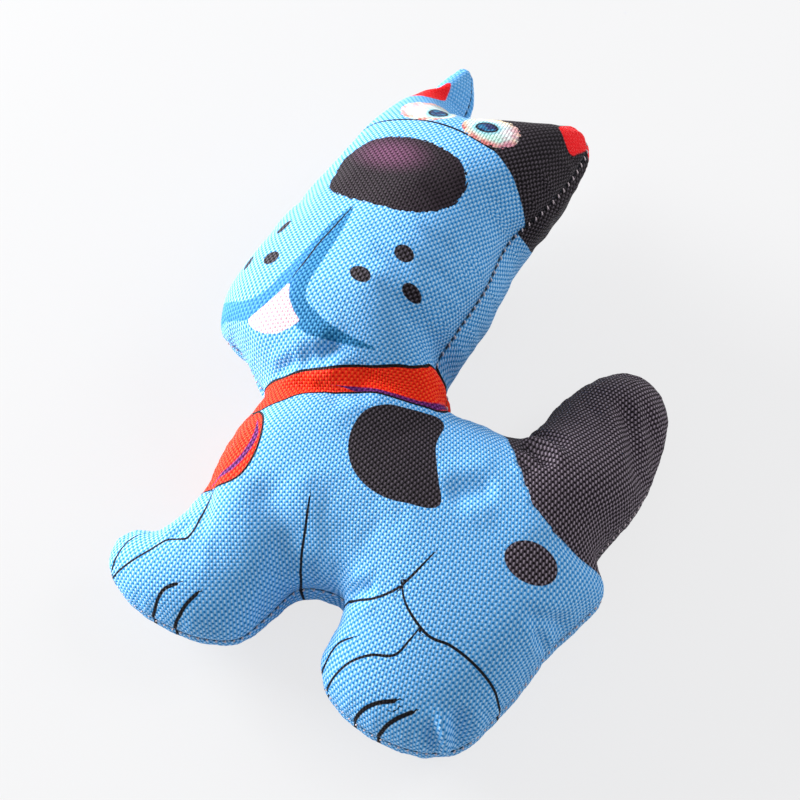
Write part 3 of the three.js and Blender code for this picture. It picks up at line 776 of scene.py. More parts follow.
PATCHES = (
    oval(Ink.BLACK, (-21.4, 48.3), (2.6, 2.1), -20),
    oval(Ink.BLACK, (-28.1, 38.3), (2.9, 2.0), -5),
    oval(Ink.BLACK, (-16.1, 40.4), (2.0, 1.9), -35),
    oval(Ink.BLACK, (-60.1, 46.6), (2.6, 1.3), 60),
    oval(Ink.BLACK, (-57.1, 36.6), (2.7, 2.0), 15),
    oval(Ink.BLACK, (-66.5, 35.2), (2.3, 1.3), 80),
    Patch(
        Ink.BLACK,
        ((-30.5, 108), (-30.2, 101), (-28, 97), (-23, 91), (-20.5, 87), (-18, 86.2), (-13.8, 84.2),
         (-11, 82.4), (-9.2, 79.8), (-8.5, 77.3), (-7.5, 73), (0, 70), (12, 76), (12, 120), (-20, 122)),
    ),
    Patch(
        Ink.BLACK,
        ((-16.3, 13.8), (-20, 9.5), (-20.2, 3.6), (-18.4, -1), (-14.8, -5), (-9.8, -7.3), (-3.9, -7.8),
         (2.2, -6.3), (7.2, -4.6), (8.4, -2.6), (4.6, 2.8), (1.4, 7.3), (-0.7, 11), (-1.4, 14.2),
         (-1.8, 17.2), (-3.5, 19), (-7.6, 17.8), (-12.2, 15.8)),
    ),
    oval(Ink.BLACK, (33.5, -3.5), (6.5, 5), 10),
    Patch(Ink.BLACK, TAIL_LOOP, rounded=False),
    Patch(
        Ink.NOSE,
        ((-52.6, 60.4), (-55.1, 66), (-55.3, 73), (-52.4, 77.2), (-48, 80), (-39.5, 81.8), (-29.5, 81),
         (-22, 78.4), (-18.3, 74), (-17.8, 69.5), (-19.7, 64.2), (-23.6, 60.6), (-29.5, 58.6), (-39, 58.2),
         (-47.3, 58.6)),
    ),
    Patch(
        Ink.SHADE,
        ((-41, 56), (-40.3, 53.5), (-39.9, 50), (-39.6, 46), (-39.7, 41), (-40, 36.7), (-40.7, 33),
         (-41.1, 30.4), (-40.8, 28.3), (-39.5, 26.9), (-37.6, 26), (-35, 25), (-31.6, 24.4),
         (-27.5, 24.2), (-21.6, 24.5),
         (-25.8, 23), (-30.1, 21.8), (-33.7, 21.1), (-37.4, 20.5), (-40.4, 20.6), (-42.6, 21.4), (-43.8, 24),
         (-45.6, 27), (-46.6, 30.8), (-45.2, 35.5), (-43.6, 47.7)),
    ),
    Patch(
        Ink.SHADE,
        ((-41.6, 56), (-44, 51), (-46, 44), (-47.8, 38), (-49.8, 33.2), (-52.2, 29), (-55.5, 26),
         (-60.2, 24.4), (-65.6, 24.3), (-72, 25), (-78, 26), (-78, 21), (-69.8, 20.6), (-63, 20),
         (-57.6, 20.1), (-52.1, 24.3), (-46.6, 30.8), (-45.2, 35.5), (-43.6, 47.7)),
    ),
    Patch(
        Ink.TONGUE,
        ((-46.6, 31), (-49, 27.7), (-52.2, 24.3), (-55.2, 21.8), (-57.9, 20), (-57, 18.8), (-55, 18),
         (-51.5, 17.5), (-47.8, 18.1), (-44.5, 20.1), (-41.5, 22.6), (-43.7, 24.3), (-45.7, 27.1)),
        rounded=False,
    ),
    Patch(
        Ink.RED,
        ((-54, 4.5), (-48.9, 7.2), (-43.8, 9.1), (-39, 12.2), (-32.5, 15.4), (-24.1, 19.7), (-16.2, 24),
         (-12.6, 26), (-10.9, 28.2), (-10.2, 30.4), (-10, 34), (-4, 36), (-3.6, 30), (-3.4, 25), (-3.9, 22),
         (-5.3, 20.5), (-9.4, 18.9), (-14.1, 17), (-18.9, 15.3), (-24.9, 13), (-30.6, 10.1),
         (-36, 6.9), (-41.1, 3), (-45, 0.3), (-48, -2), (-54, -5)),
        rounded=False,
    ),
    Patch(
        Ink.RED,
        ((-56, 0), (-46, -0.8), (-43.5, -2.3), (-40.4, -6.3), (-37.9, -13.1), (-38.1, -18.9), (-40.6, -21.8),
         (-46, -24), (-56, -27)),
    ),
    Patch(
        Ink.PINK,
        ((-62, 103), (-60, 107), (-57.4, 109.8), (-56, 113.4), (-54.8, 115.4), (-53.3, 113.4), (-52.2, 110.7),
         (-51.5, 108.3), (-52.5, 105.5), (-54.9, 103.8), (-57.8, 102.6)),
    ),
    Patch(
        Ink.PINK,
        ((-12.8, 108), (-11.1, 103.8), (-8.9, 102), (-7.3, 100.4), (-6, 99.4), (-5.6, 102),
         (-5.2, 105), (-4, 112), (-12, 116)),
        rounded=False,
    ),
    Patch(
        Ink.EYE,
        ((-52.9, 94.6), (-52.2, 97.4), (-50, 100), (-48.4, 102.6), (-46.4, 103.8), (-43.2, 102),
         (-39.6, 98.8), (-36, 95.8), (-34.6, 92.9), (-36.6, 90.7), (-39.6, 89.4), (-43.5, 89),
         (-47.7, 89.5), (-51, 91.6)),
    ),
    Patch(
        Ink.IRIS,
        ((-42.6, 93), (-43.4, 95.4), (-42.6, 97.4), (-40, 96.6), (-36.6, 93.4), (-38, 91.8),
         (-40.6, 91.7)),
    ),
    Patch(
        Ink.EYE,
        ((-29.6, 90.6), (-30.3, 93.6), (-28.8, 96.4), (-25.1, 97.5), (-20.4, 97.1), (-17, 96.1),
         (-15.1, 93.9), (-14.8, 91.3), (-15.4, 89.1), (-18.2, 87.2), (-21.9, 87), (-25.3, 87.7),
         (-27.9, 88.8)),
    ),
    Patch(
        Ink.IRIS,
        ((-26.2, 91.2), (-26.3, 93.2), (-25, 94.4), (-22.3, 94.3), (-20.4, 93), (-20.8, 91.6),
         (-23, 90.4)),
    ),
)

STROKES = (
    Stroke(
        Ink.LINE, 0.3,
        ((-68, 80), (-61, 84.6), (-56.2, 86.2), (-51.1, 87.4), (-46.6, 88.3), (-41.8, 88.9), (-36.8, 88.9),
         (-31.7, 88.5), (-26.6, 87.8), (-22.5, 86.9), (-18, 86.2)), 0.2, 0.9,
    ),
    Stroke(Ink.LINE, 0.27, ((-41.3, 56), (-42.6, 49), (-44, 43.4), (-44.9, 37.1), (-46.2, 32.4)), 0.5, 0.4),
    Stroke(
        Ink.LINE, 0.32,
        ((-54, 4.5), (-48.9, 7.2), (-43.8, 9.1), (-39, 12.2), (-32.5, 15.4), (-24.1, 19.7), (-16.2, 24),
         (-12.6, 26), (-10.9, 28.2), (-10.2, 30.4), (-10, 34)), 1, 0.9,
    ),
    Stroke(Ink.LINE, 0.3, ((-3.4, 27), (-3.4, 25), (-3.9, 22), (-5.3, 20.5)), 0.9, 1),
    Stroke(
        Ink.LINE, 0.26,
        ((-5.3, 20.5), (-9.4, 18.9), (-14.1, 17), (-18.9, 15.3), (-24.9, 13), (-30.6, 10.1), (-36, 6.9),
         (-41.1, 3), (-45, 0.3), (-48, -2)), 1, 1,
    ),
    Stroke(
        Ink.LINE, 0.32,
        ((-50, -0.6), (-46, -0.8), (-43.5, -2.3), (-40.4, -6.3), (-37.9, -13.1), (-38.1, -18.9),
         (-40.6, -21.8), (-46, -24), (-54, -26.4)), 1, 0.6,
    ),
    Stroke(Ink.LINE, 0.33, ((-19.8, -16.3), (-17.2, -23.2), (-15.6, -27.6), (-14, -31), (-13, -35)), 0.6, 1),
    Stroke(
        Ink.LINE, 0.33,
        ((-44.7, -24.2), (-43.1, -30.9), (-42.5, -37.2), (-47.1, -39), (-50.2, -43.6),
         (-53.5, -48.3), (-57, -53)), 0.6, 1,
    ),
    Stroke(Ink.LINE, 0.46, ((-39, -47.5), (-41.2, -49.9), (-41.7, -53.2), (-41.8, -58)), 1, 1),
    Stroke(Ink.LINE, 0.46, ((-33.2, -46.9), (-34.4, -49.8), (-35.3, -53.7), (-35.8, -59)), 1, 1),
    Stroke(Ink.LINE, 0.33, ((-56.5, -40.8), (-58.1, -43.8), (-58.1, -48), (-57.8, -51)), 0.6, 1),
    Stroke(
        Ink.LINE, 0.33,
        ((13.2, -13.8), (11.2, -21.4), (9.4, -25.2), (4.9, -29.2), (-1.5, -30.9), (-6, -31.4)), 0.6, 1,
    ),
    Stroke(
        Ink.LINE, 0.33,
        ((10, -23), (12.6, -26.1), (17, -28.7), (21.9, -30.2), (26.8, -29.5), (33.9, -30),
         (39.8, -31.5), (43.4, -33.5), (48, -36)), 0.7, 1,
    ),
    Stroke(
        Ink.LINE, 0.33,
        ((18.7, -30.3), (18.1, -32.9), (16.6, -37.2), (11.3, -39.7), (7.6, -42.9), (5.6, -46.7),
         (4.5, -51)), 0.6, 1,
    ),
    Stroke(Ink.LINE, 0.49, ((21.5, -45.4), (17.6, -47.9), (15.1, -50.8), (13.5, -56)), 1, 1),
    Stroke(Ink.LINE, 0.49, ((26.2, -45.4), (23.4, -48.5), (21.4, -52), (20.5, -57)), 1, 1),
    Stroke(Ink.LINE, 0.3, ((5.3, -37.8), (2.4, -40.2), (1.7, -44), (1.4, -47)), 0.6, 1),
    Stroke(
        Ink.PURPLE, 0.6,
        ((-29.8, 12.6), (-24.7, 13.9), (-20.3, 15.3), (-15.6, 17), (-10.8, 18.9), (-7.2, 20.3)), 0.1, 0.9,
    ),
    Stroke(Ink.PURPLE, 0.85, ((-9, 19.6), (-6.6, 20.7), (-5, 22.8), (-4.6, 26.5), (-5.1, 30)), 0.9, 0.1),
    Stroke(
        Ink.PURPLE, 0.75,
        ((-43.6, -4.4), (-41.2, -8), (-40.4, -13), (-41.4, -17.6), (-45.5, -22.4)), 0.3, 0.3,
    ),
)


@dataclass
class PrintedCloth:
    """The printed picture, measured at the points of a mesh."""

    reach: float = 6.0
    line_reach: float = 4.0

    def areas(self, flat: np.ndarray, ink: Ink) -> np.ndarray:
        """How far each point lies outside the areas of one ink, less than 0 inside them.

        Args:
            flat: Points on the flat pattern, as rows of x and y.
            ink: The ink.

        Returns:
            The distance for each point.
        """
        least = np.full(len(flat), self.reach)
        for patch in PATCHES:
            if patch.ink is not ink:
                continue
            loop = patch.loop()
            low, high = loop.min(axis=0) - self.reach, loop.max(axis=0) + self.reach
            close = np.all((flat > low) & (flat < high), axis=1)
            least[close] = np.minimum(least[close], loop_distance(flat[close], loop))
        return np.maximum(least, -self.reach)

    def lines(self, flat: np.ndarray, ink: Ink) -> np.ndarray:
        """Where each point lies to the nearest line of one ink.

        Args:
            flat: Points on the flat pattern, as rows of x and y.
            ink: The ink.

        Returns:
            Rows of the distance in shares of the line's half width, signed by its side,
            the plain distance, and nothing.
        """
        distance = np.full(len(flat), self.line_reach)
        across = np.full(len(flat), 20.0)
        for stroke in STROKES:
            if stroke.ink is not ink:
                continue
            path = stroke.path()
            low, high = path.min(axis=0) - self.line_reach, path.max(axis=0) + self.line_reach
            close = np.flatnonzero(np.all((flat > low) & (flat < high), axis=1))
            if not len(close):
                continue
            near = Nearness(flat[close], path)
            nearer = near.distance < distance[close]
            chosen = close[nearer]
            distance[chosen] = near.distance[nearer]
            widths = stroke.half_widths(near.share[nearer])
            across[chosen] = np.clip(near.side[nearer] * near.distance[nearer] / widths, -20, 20)
        return np.column_stack([across, distance])

    def write(self, mesh: bpy.types.Mesh, flat: np.ndarray) -> None:
        """Stores the picture's distances as attributes of a mesh.

        Args:
            mesh: The mesh.
            flat: Where each vertex lies on the flat pattern.
        """
        for ink in Ink:
            drawn = ink in (Ink.LINE, Ink.PURPLE)
            store(mesh, ink.value, self.lines(flat, ink) if drawn else self.areas(flat, ink))


def select_only(obj: bpy.types.Object) -> None:
    """Makes one object the only one that is selected, and active.

    Args:
        obj: The object.
    """
    bpy.ops.object.select_all(action="DESELECT")
    obj.select_set(True)
    bpy.context.view_layer.objects.active = obj


def shade_smooth(obj: bpy.types.Object) -> None:
    """Smooths an object's shading."""
    select_only(obj)
    bpy.ops.object.shade_smooth()


def finish_with(obj: bpy.types.Object, kind: str, **settings: float) -> None:
    """Adds a modifier to an object, sets it and applies it.

    Args:
        obj: The object.
        kind: The modifier's type.
        settings: The modifier's settings, by name.
    """
    select_only(obj)
    modifier = obj.modifiers.new(kind.lower(), kind)
    for name, value in settings.items():
        setattr(modifier, name, value)
    bpy.ops.object.modifier_apply(modifier=modifier.name)


def new_object(
    name: str, points: np.ndarray, faces: np.ndarray | list, edges: tuple[Edge, ...] = ()
) -> bpy.types.Object:
    """Makes a mesh object.

    Args:
        name: Its name.
        points: Its points, as rows of x, y and z in millimetres.
        faces: The corners of its faces.
        edges: The ends of its loose edges.

    Returns:
        The object.
    """
    mesh = bpy.data.meshes.new(name)
    mesh.from_pydata((points * MM).tolist(), edges, [list(map(int, face)) for face in faces])
    mesh.update()
    obj = bpy.data.objects.new(name, mesh)
    bpy.context.scene.collection.objects.link(obj)
    return obj


def vertex_values(mesh: bpy.types.Mesh, kind: str = "co") -> np.ndarray:
    """A mesh's vertex places or normals, as rows.

    Args:
        mesh: The mesh.
        kind: What to give: co for places, any other word for normals.

    Returns:
        A row of three for each vertex, in the mesh's own units.
    """
    found = np.empty(len(mesh.vertices) * 3, np.float32)
    if kind == "co":
        mesh.vertices.foreach_get("co", found)
    else:
        mesh.vertex_normals.foreach_get("vector", found)
    return found.reshape(-1, 3).astype(float)


def pattern_values(mesh: bpy.types.Mesh, name: str = "pattern") -> np.ndarray:
    """Each vertex's place on the flat pattern, or on the cut cloth, as rows of x and y.

    Args:
        mesh: The mesh.
        name: The attribute that holds them.

    Returns:
        A row of x and y for each vertex, in millimetres.
    """
    found = np.empty(len(mesh.vertices) * 3, np.float32)
    mesh.attributes[name].data.foreach_get("vector", found)
    return found.reshape(-1, 3)[:, :2].astype(float)


def corner_vertices(mesh: bpy.types.Mesh) -> np.ndarray:
    """The vertex at each corner of a mesh's faces.

    Args:
        mesh: The mesh.

    Returns:
        The vertices' numbers, face after face.
    """
    found = np.empty(len(mesh.loops), np.int32)
    mesh.loops.foreach_get("vertex_index", found)
    return found


def edge_ends(mesh: bpy.types.Mesh) -> np.ndarray:
    """The two vertices of each of a mesh's edges, as rows.

    Args:
        mesh: The mesh.

    Returns:
        The vertices' numbers, a row for each edge.
    """
    found = np.empty(len(mesh.edges) * 2, np.int32)
    mesh.edges.foreach_get("vertices", found)
    return found.reshape(-1, 2)


def move_vertices(mesh: bpy.types.Mesh, places: np.ndarray) -> None:
    """Puts a mesh's vertices at places in millimetres."""
    mesh.vertices.foreach_set("co", (places * MM).astype(np.float32).ravel())
    mesh.update()


def store(mesh: bpy.types.Mesh, name: str, values: np.ndarray) -> None:
    """Keeps a number or a vector for each vertex of a mesh, as an attribute.

    Args:
        mesh: The mesh.
        name: The attribute's name.
        values: One number for each vertex, or a row of two.
    """
    if values.ndim == 1:
        attribute = mesh.attributes.new(name, "FLOAT", "POINT")
        attribute.data.foreach_set("value", values.astype(np.float32))
        return
    rows = np.column_stack([values, np.zeros(len(values))])
    attribute = mesh.attributes.new(name, "FLOAT_VECTOR", "POINT")
    attribute.data.foreach_set("vector", rows.astype(np.float32).ravel())


def ring_faces(rings: int, around: int) -> list[list[int]]:
    """Faces between rings of points, each joined to the next.

    Args:
        rings: How many rings there are.
        around: How many points a ring has.

    Returns:
        The faces' corners.
    """
    faces = []
    for here in range(0, (rings - 1) * around, around):
        for step in range(around):
            after = (step + 1) % around
            faces.append([here + step, here + after, here + after + around, here + step + around])
    return faces


@dataclass
class StuffedToy:
    """The two sewn panels, stuffed, creased and cut into the pieces for the body and the tail."""

    pattern: DogPattern
    spacing: float = 1.5
    seam_tuck: float = 1.3
    seam_puff: float = 0.5
    seam_puff_reach: float = 3.0
    cloth_thickness: float = 0.6
    stuffing_depth: float = 2.7
    slack: float = 0.05
    pucker_cap: float = 1.4
    pucker_margin: float = 4.0
    pucker_rounds: tuple[int, int] = (2, 70)
    trial_scale: float = 10.0
    trial_pressure: float = 6.0
    trial_frames: int = 20
    seam_waves: Point = (7.1, 4.3)
    seam_wave_height: float = 0.1
    seam_wave_reach: float = 6.5
    stitch_pitch: float = STITCH_PITCH
    stitch_rise: float = 0.3
    grain_degrees: float = 22.0
    head_grain_degrees: float = 11.0
    middle: tuple[float, float, float] = (12.41, -34.81, 20.35)

    def __post_init__(self) -> None:
        """Cuts the pattern."""
        self.cut_line = curve_points(list(TAIL_CUT), self.spacing, closed=False)
        crossing = inside(self.cut_line, self.pattern.outline(self.spacing))
        self.cut_line = self.cut_line[crossing]
        self.base = PatternMesh(self.pattern, self.spacing, self.cut_line)
        self.edge = closed(self.pattern.outline(0.5))
        self.seam = SewnEdge(self.pattern.outline(0.1), 0.1)
        log.info("pattern: %d points, %d triangles", len(self.base.flat), len(self.base.triangles))

    def is_tail(self, flat: np.ndarray) -> np.ndarray:
        """Tells which points of the pattern belong to the tail's piece."""
        return inside(flat, np.array(TAIL_LOOP, float))

    def place(self, flat: np.ndarray, height: np.ndarray) -> np.ndarray:
        """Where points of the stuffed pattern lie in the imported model's frame, in millimetres."""
        return self.pattern.bent(flat, height) + np.array(self.middle)

    def settled(self, points: np.ndarray) -> np.ndarray:
        """Points pressed flat where the toy rests.

        Args:
            points: The points, as rows of x, y and z in millimetres.

        Returns:
            The points, none of them under the surface that the toy lies on.
        """
        soft = 0.4
        points = points.copy()
        points[:, 2] = 0.5 * (points[:, 2] + np.sqrt(points[:, 2] ** 2 + soft**2))
        return points

    def rounded(self, depth: float) -> tuple[np.ndarray, np.ndarray]:
        """The front's shape before it bends, a depth under the outer face.

        Args:
            depth: The depth, in millimetres.

        Returns:
            The points on the flat pattern, moved for the seam's fold, and their heights.
        """
        base = self.base
        near = Nearness(base.flat, self.edge)
        outward = -near.away / np.maximum(near.distance, 1e-6)[:, None]
        puff = self.seam_puff * np.maximum(1 - near.distance / self.seam_puff_reach, 0) ** 2
        flat = base.flat + outward * (puff - depth * smooth(1 - near.distance / (depth + 3)))[:, None]
        height = np.maximum(base.height - depth, 0.0) if depth else base.height.copy()
        tips = base.on_edge
        order = np.argmin(
            np.linalg.norm(base.flat[tips][:, None, :] - base.edge[None, :, :], axis=2), axis=1
        )
        flat[tips] = base.flat[tips] + base.inward()[order] * (self.seam_tuck + depth)
        height[tips] = 0.0
        return flat, height

    def whole(self, depth: float = 0.0) -> tuple[np.ndarray, np.ndarray, np.ndarray, np.ndarray]:
        """The whole toy as one closed surface.

        Args:
            depth: How far it lies under the outer face, in millimetres.

        Returns:
            Points, triangles, each point's place on the flat pattern, and each triangle's piece:
            0 for the front, 1 for the front of the tail, 2 for the back and 3 for the tail's back.
        """
        base = self.base
        flat, height = self.rounded(depth)
        front, back = self.place(flat, height), self.place(flat, -height)
        free = np.flatnonzero(~base.on_edge)
        to_back = np.arange(len(flat))
        to_back[free] = len(flat) + np.arange(len(free))
        points = self.settled(np.vstack([front, back[free]]))
        triangles = np.vstack([base.triangles, to_back[base.triangles][:, ::-1]])
        on_pattern = np.vstack([base.flat, base.flat[free]])
        tail = self.is_tail(base.flat[base.triangles].mean(axis=1)).astype(int)
        return points, triangles, on_pattern, np.concatenate([tail, tail + 2])

    def build_cloth(self) -> dict[str, bpy.types.Object]:
        """Makes the four pieces of the cloth.

        Returns:
            The pieces, by name.
        """
        points, triangles, on_pattern, piece = self.whole()
        obj = new_object("cloth", points, triangles)
        mesh = obj.data
        laid = self.grain(self.base.flat, self.base.unrolled(points[: len(self.base.flat)]))
        laid = np.vstack([laid, laid[~self.base.on_edge]])
        store(mesh, "pattern", on_pattern)
        store(mesh, "yarns", laid)
        names = ("front_panel", "front_tail_panel", "back_panel", "back_tail_panel")
        for name in names:
            mesh.materials.append(bpy.data.materials.new(name))
        mesh.polygons.foreach_set("material_index", piece.astype(np.int32))
        self.pucker(mesh)
        self.sharpen_seam(mesh)
        finish_with(obj, "SUBSURF", levels=1, render_levels=1)
        self.crease(mesh)
        bpy.ops.object.mode_set(mode="EDIT")
        bpy.ops.mesh.select_all(action="SELECT")
        bpy.ops.mesh.separate(type="MATERIAL")
        bpy.ops.object.mode_set(mode="OBJECT")
        pieces = {}
        for found in list(bpy.context.selected_objects):
            name = found.data.materials[found.data.polygons[0].material_index].name
            found.name = found.data.name = name
            pieces[name] = found
        for name in names:
            material = bpy.data.materials[name]
            pieces[name].data.materials.clear()
            bpy.data.materials.remove(material)
        for name, panel in pieces.items():
            self.finish_cloth(panel)
            log.info("%s: %d faces", name, len(panel.data.polygons))
        return pieces

    def pucker(self, mesh: bpy.types.Mesh) -> None:
        """Presses a slightly larger cloth out from inside, with its seam held, and keeps its puckers.

        Args:
            mesh: The closed cloth, which takes the puckers and not the swelling.
        """
        start = vertex_values(mesh) / MM
        corners = corner_vertices(mesh).reshape(-1, 3)
        trial = new_object("puckering", start * self.trial_scale, corners)
        held = trial.vertex_groups.new(name="seam")
        held.add(np.flatnonzero(self.base.on_edge).tolist(), 1.0, "REPLACE")
        modifier = trial.modifiers.new("pressed", "CLOTH")
        cloth = modifier.settings
        cloth.quality = 5
        cloth.mass = 0.3
        cloth.vertex_group_mass = held.name
        cloth.use_pressure = True
        cloth.uniform_pressure_force = self.trial_pressure
        cloth.shrink_min = -self.slack
        cloth.tension_stiffness = cloth.compression_stiffness = 15.0
        cloth.shear_stiffness = 5.0
        cloth.bending_stiffness = 0.05
        cloth.effector_weights.gravity = 0.0
        modifier.collision_settings.use_collision = False
        modifier.point_cache.frame_end = self.trial_frames
        for number in range(1, self.trial_frames + 1):
            bpy.context.scene.frame_set(number)
        pressed = trial.evaluated_get(bpy.context.evaluated_depsgraph_get())
        moved = vertex_values(pressed.data) / MM / self.trial_scale - start
        bpy.context.scene.frame_set(1)
        bpy.data.objects.remove(trial)
        fine, coarse = (self.evened(mesh, moved, times) for times in self.pucker_rounds)
        moved = fine - coarse
        length = np.linalg.norm(moved, axis=1)
        moved *= (np.minimum(length, self.pucker_cap) / np.maximum(length, 1e-9))[:, None]
        moved *= smooth(self.seam.nearest(pattern_values(mesh))[0] / self.pucker_margin)[:, None]
        log.info("puckers: %.2f mm on average, %.2f mm at most", length.mean(), length.max())
        move_vertices(mesh, start + moved)

    def evened(self, mesh: bpy.types.Mesh, values: np.ndarray, times: int) -> np.ndarray:
        """Averages rows of values between neighbouring vertices a number of times.

        Args:
            mesh: The mesh.
            values: A row for each of its vertices.
            times: How many times to average.

        Returns:
            The averaged rows.
        """
        start, end = edge_ends(mesh).T
        size = len(values)
        count = np.bincount(start, minlength=size) + np.bincount(end, minlength=size)
        for _ in range(times):
            near = np.column_stack([
                np.bincount(start, column[end], size) + np.bincount(end, column[start], size)
                for column in values.T
            ])
            values = 0.5 * values + 0.5 * near / count[:, None]
        return values

    def sharpen_seam(self, mesh: bpy.types.Mesh) -> None:
        """Keeps the seam between the two panels a sharp fold when the mesh is made finer.

        Args:
            mesh: The closed cloth.
        """
        held = np.zeros(len(mesh.vertices), bool)
        held[: len(self.base.flat)] = self.base.on_edge
        crease = mesh.attributes.new("crease_edge", "FLOAT", "EDGE")
        crease.data.foreach_set("value", held[edge_ends(mesh)].all(axis=1).astype(np.float32))

    def crease(self, mesh: bpy.types.Mesh) -> None:
        """Presses the folds into the finer mesh, and puckers it along the seam.

        Args:
            mesh: The closed cloth.
        """
        places = vertex_values(mesh) / MM
        normals = vertex_values(mesh, "normal")
        flat = pattern_values(mesh)
        is_back = self.on_back(mesh)
        distance, length = self.seam.nearest(flat)
        moved = np.zeros(len(flat))
        for fold in CREASES:
            press = fold.press(flat)
            moved += press * np.where(is_back, 0.8 if fold.on_back else 0.0, 1.0)
        long_wave, short_wave = (length * math.tau / wave for wave in self.seam_waves)
        beat = np.sin(long_wave + 1.3 * np.sin(length / 11.0)) + 0.6 * np.sin(short_wave + is_back)
        near_seam = smooth(distance / 0.8) * (1 - smooth(distance / self.seam_wave_reach))
        moved += self.seam_wave_height * beat * near_seam
        places += normals * (moved * smooth(distance / 1.2))[:, None]
        move_vertices(mesh, self.settled(places))

    def on_back(self, mesh: bpy.types.Mesh) -> np.ndarray:
        """Tells which vertices belong to the back panel alone.

        Args:
            mesh: The closed cloth, with a material slot for each of its four pieces.

        Returns:
            A mark for each vertex.
        """
        piece = np.empty(len(mesh.polygons), np.int32)
        mesh.polygons.foreach_get("material_index", piece)
        corners = np.empty(len(mesh.polygons), np.int32)
        mesh.polygons.foreach_get("loop_total", corners)
        on_back = np.ones(len(mesh.vertices), bool)
        on_back[corner_vertices(mesh)[np.repeat(piece < 2, corners)]] = False
        return on_back

    def finish_cloth(self, panel: bpy.types.Object) -> None:
        """Prints a panel, gives it its thickness and smooths its shading.

        Args:
            panel: The panel, or its tail's part.
        """
        mesh = panel.data
        flat = pattern_values(mesh)
        printed = flat.copy()
        if panel.name.startswith("back"):
            for place, reach, lag in BACK_PRINT_LAGS:
                printed[:, 1] += lag * np.exp(-(((flat - np.array(place)) / reach) ** 2).sum(axis=1))
        PrintedCloth().write(mesh, printed)
        length = self.seam.nearest(flat)[1]
        sunk, _ = self.groove().nearest(vertex_values(mesh) / MM)
        store(mesh, "seam", np.column_stack([length, sunk]))
        corners = corner_vertices(mesh)
        for name, values in (("picture", flat), ("grain", pattern_values(mesh, "yarns"))):
            layer = mesh.uv_layers.new(name=name)
            layer.uv.foreach_set("vector", values[corners].astype(np.float32).ravel())
        finish_with(panel, "SOLIDIFY", thickness=self.cloth_thickness * MM, offset=-1.0)
        shade_smooth(panel)

    def groove(self) -> SewnEdge:
        """The bottom of the seam's fold.

        Returns:
            A line on the flat pattern.
        """
        step = 0.4
        walked = self.pattern.outline(step)
        sunk = walked + edge_directions(walked)[1] * self.seam_tuck
        return SewnEdge(self.settled(self.place(sunk, np.zeros(len(sunk)))), step)

    def grain(self, flat: np.ndarray, laid: np.ndarray) -> np.ndarray:
        """Where points lie along the cloth's two yarns, in millimetres.

        Args:
            flat: The points on the flat pattern.
            laid: The same points on the cloth as it was cut.

        Returns:
            The lengths along the two yarns, as rows.
        """
        change = self.head_grain_degrees - self.grain_degrees
        turn = -np.radians(self.grain_degrees + change * self.pattern.head_share(flat))
        return turn_rows(laid - np.array(self.pattern.neck), np.cos(turn), np.sin(turn))

    def build_stuffing(self) -> dict[str, bpy.types.Object]:
        """Makes the fibre under the cloth, one piece for the tail and one for the rest.

        Returns:
            The pieces, by name.
        """
        points, triangles, on_pattern, piece = self.whole(self.stuffing_depth)
        press = sum(np.minimum(fold.press(on_pattern), 0.0) for fold in CREASES)
        middle = self.place(on_pattern, np.zeros(len(on_pattern)))
        inward = middle - points
        inward /= np.maximum(np.linalg.norm(inward, axis=1), 1.0)[:, None]
        points = points - inward * press[:, None]
        made = {}
        for name, tail in (("stuffing", 0), ("tail_stuffing", 1)):
            kept = triangles[piece % 2 == tail]
            kept = np.vstack([kept, self.wall(kept)])
            used = np.unique(kept)
            numbers = np.zeros(len(points), int)
            numbers[used] = np.arange(len(used))
            obj = new_object(name, points[used], numbers[kept])
            shade_smooth(obj)
            made[name] = obj
            log.info("%s: %d faces", name, len(obj.data.polygons))
        return made

    def wall(self, triangles: np.ndarray) -> np.ndarray:
        """Triangles that close the stuffing along the cut, from the front's edge to the back's.

        Args:
            triangles: The stuffing's triangles on one side of the cut.

        Returns:
            The corners of the new triangles.
        """
        base = self.base
        count = len(base.flat)
        free = np.flatnonzero(~base.on_edge)
        to_back = np.arange(count)
        to_back[free] = count + np.arange(len(free))
        directed = dict.fromkeys(
            (start, end)
            for a, b, c in triangles.tolist()
            for start, end in ((a, b), (b, c), (c, a))
        )
        wall = []
        for start, end in directed:
            if (end, start) in directed or start >= count or end >= count:
                continue
            low_start, low_end = to_back[start], to_back[end]
            if low_start != start:
                wall.append((end, start, low_start))
            if low_end != end:
                wall.append((end, low_start, low_end))
        return np.array(wall)

    def build_stitches(self) -> dict[str, bpy.types.Object]:
        """Makes the thread that shows along the seam, one piece for the tail and one for the rest.

        Returns:
            The pieces, by name.
        """
        walked = self.pattern.outline(self.stitch_pitch)
        along, inward = edge_directions(walked)
        sunk = walked + inward * (self.seam_tuck - self.stitch_rise)
        tail = self.is_tail(walked)
        made = {}
        for name, wanted in (("seam_thread", False), ("tail_seam_thread", True)):
            chosen = np.flatnonzero((tail == wanted) & (self.pattern.curl(walked) < 0.8))
            points, faces = [], []
            for i in chosen:
                stitch, corners = self.stitch(sunk[i], along[i], inward[i])
                faces.extend(corners + len(points) * len(stitch))
                points.append(stitch)
            obj = new_object(name, self.settled(np.vstack(points)), faces)
            shade_smooth(obj)
            made[name] = obj
            log.info("%s: %d stitches", name, len(chosen))
        return made

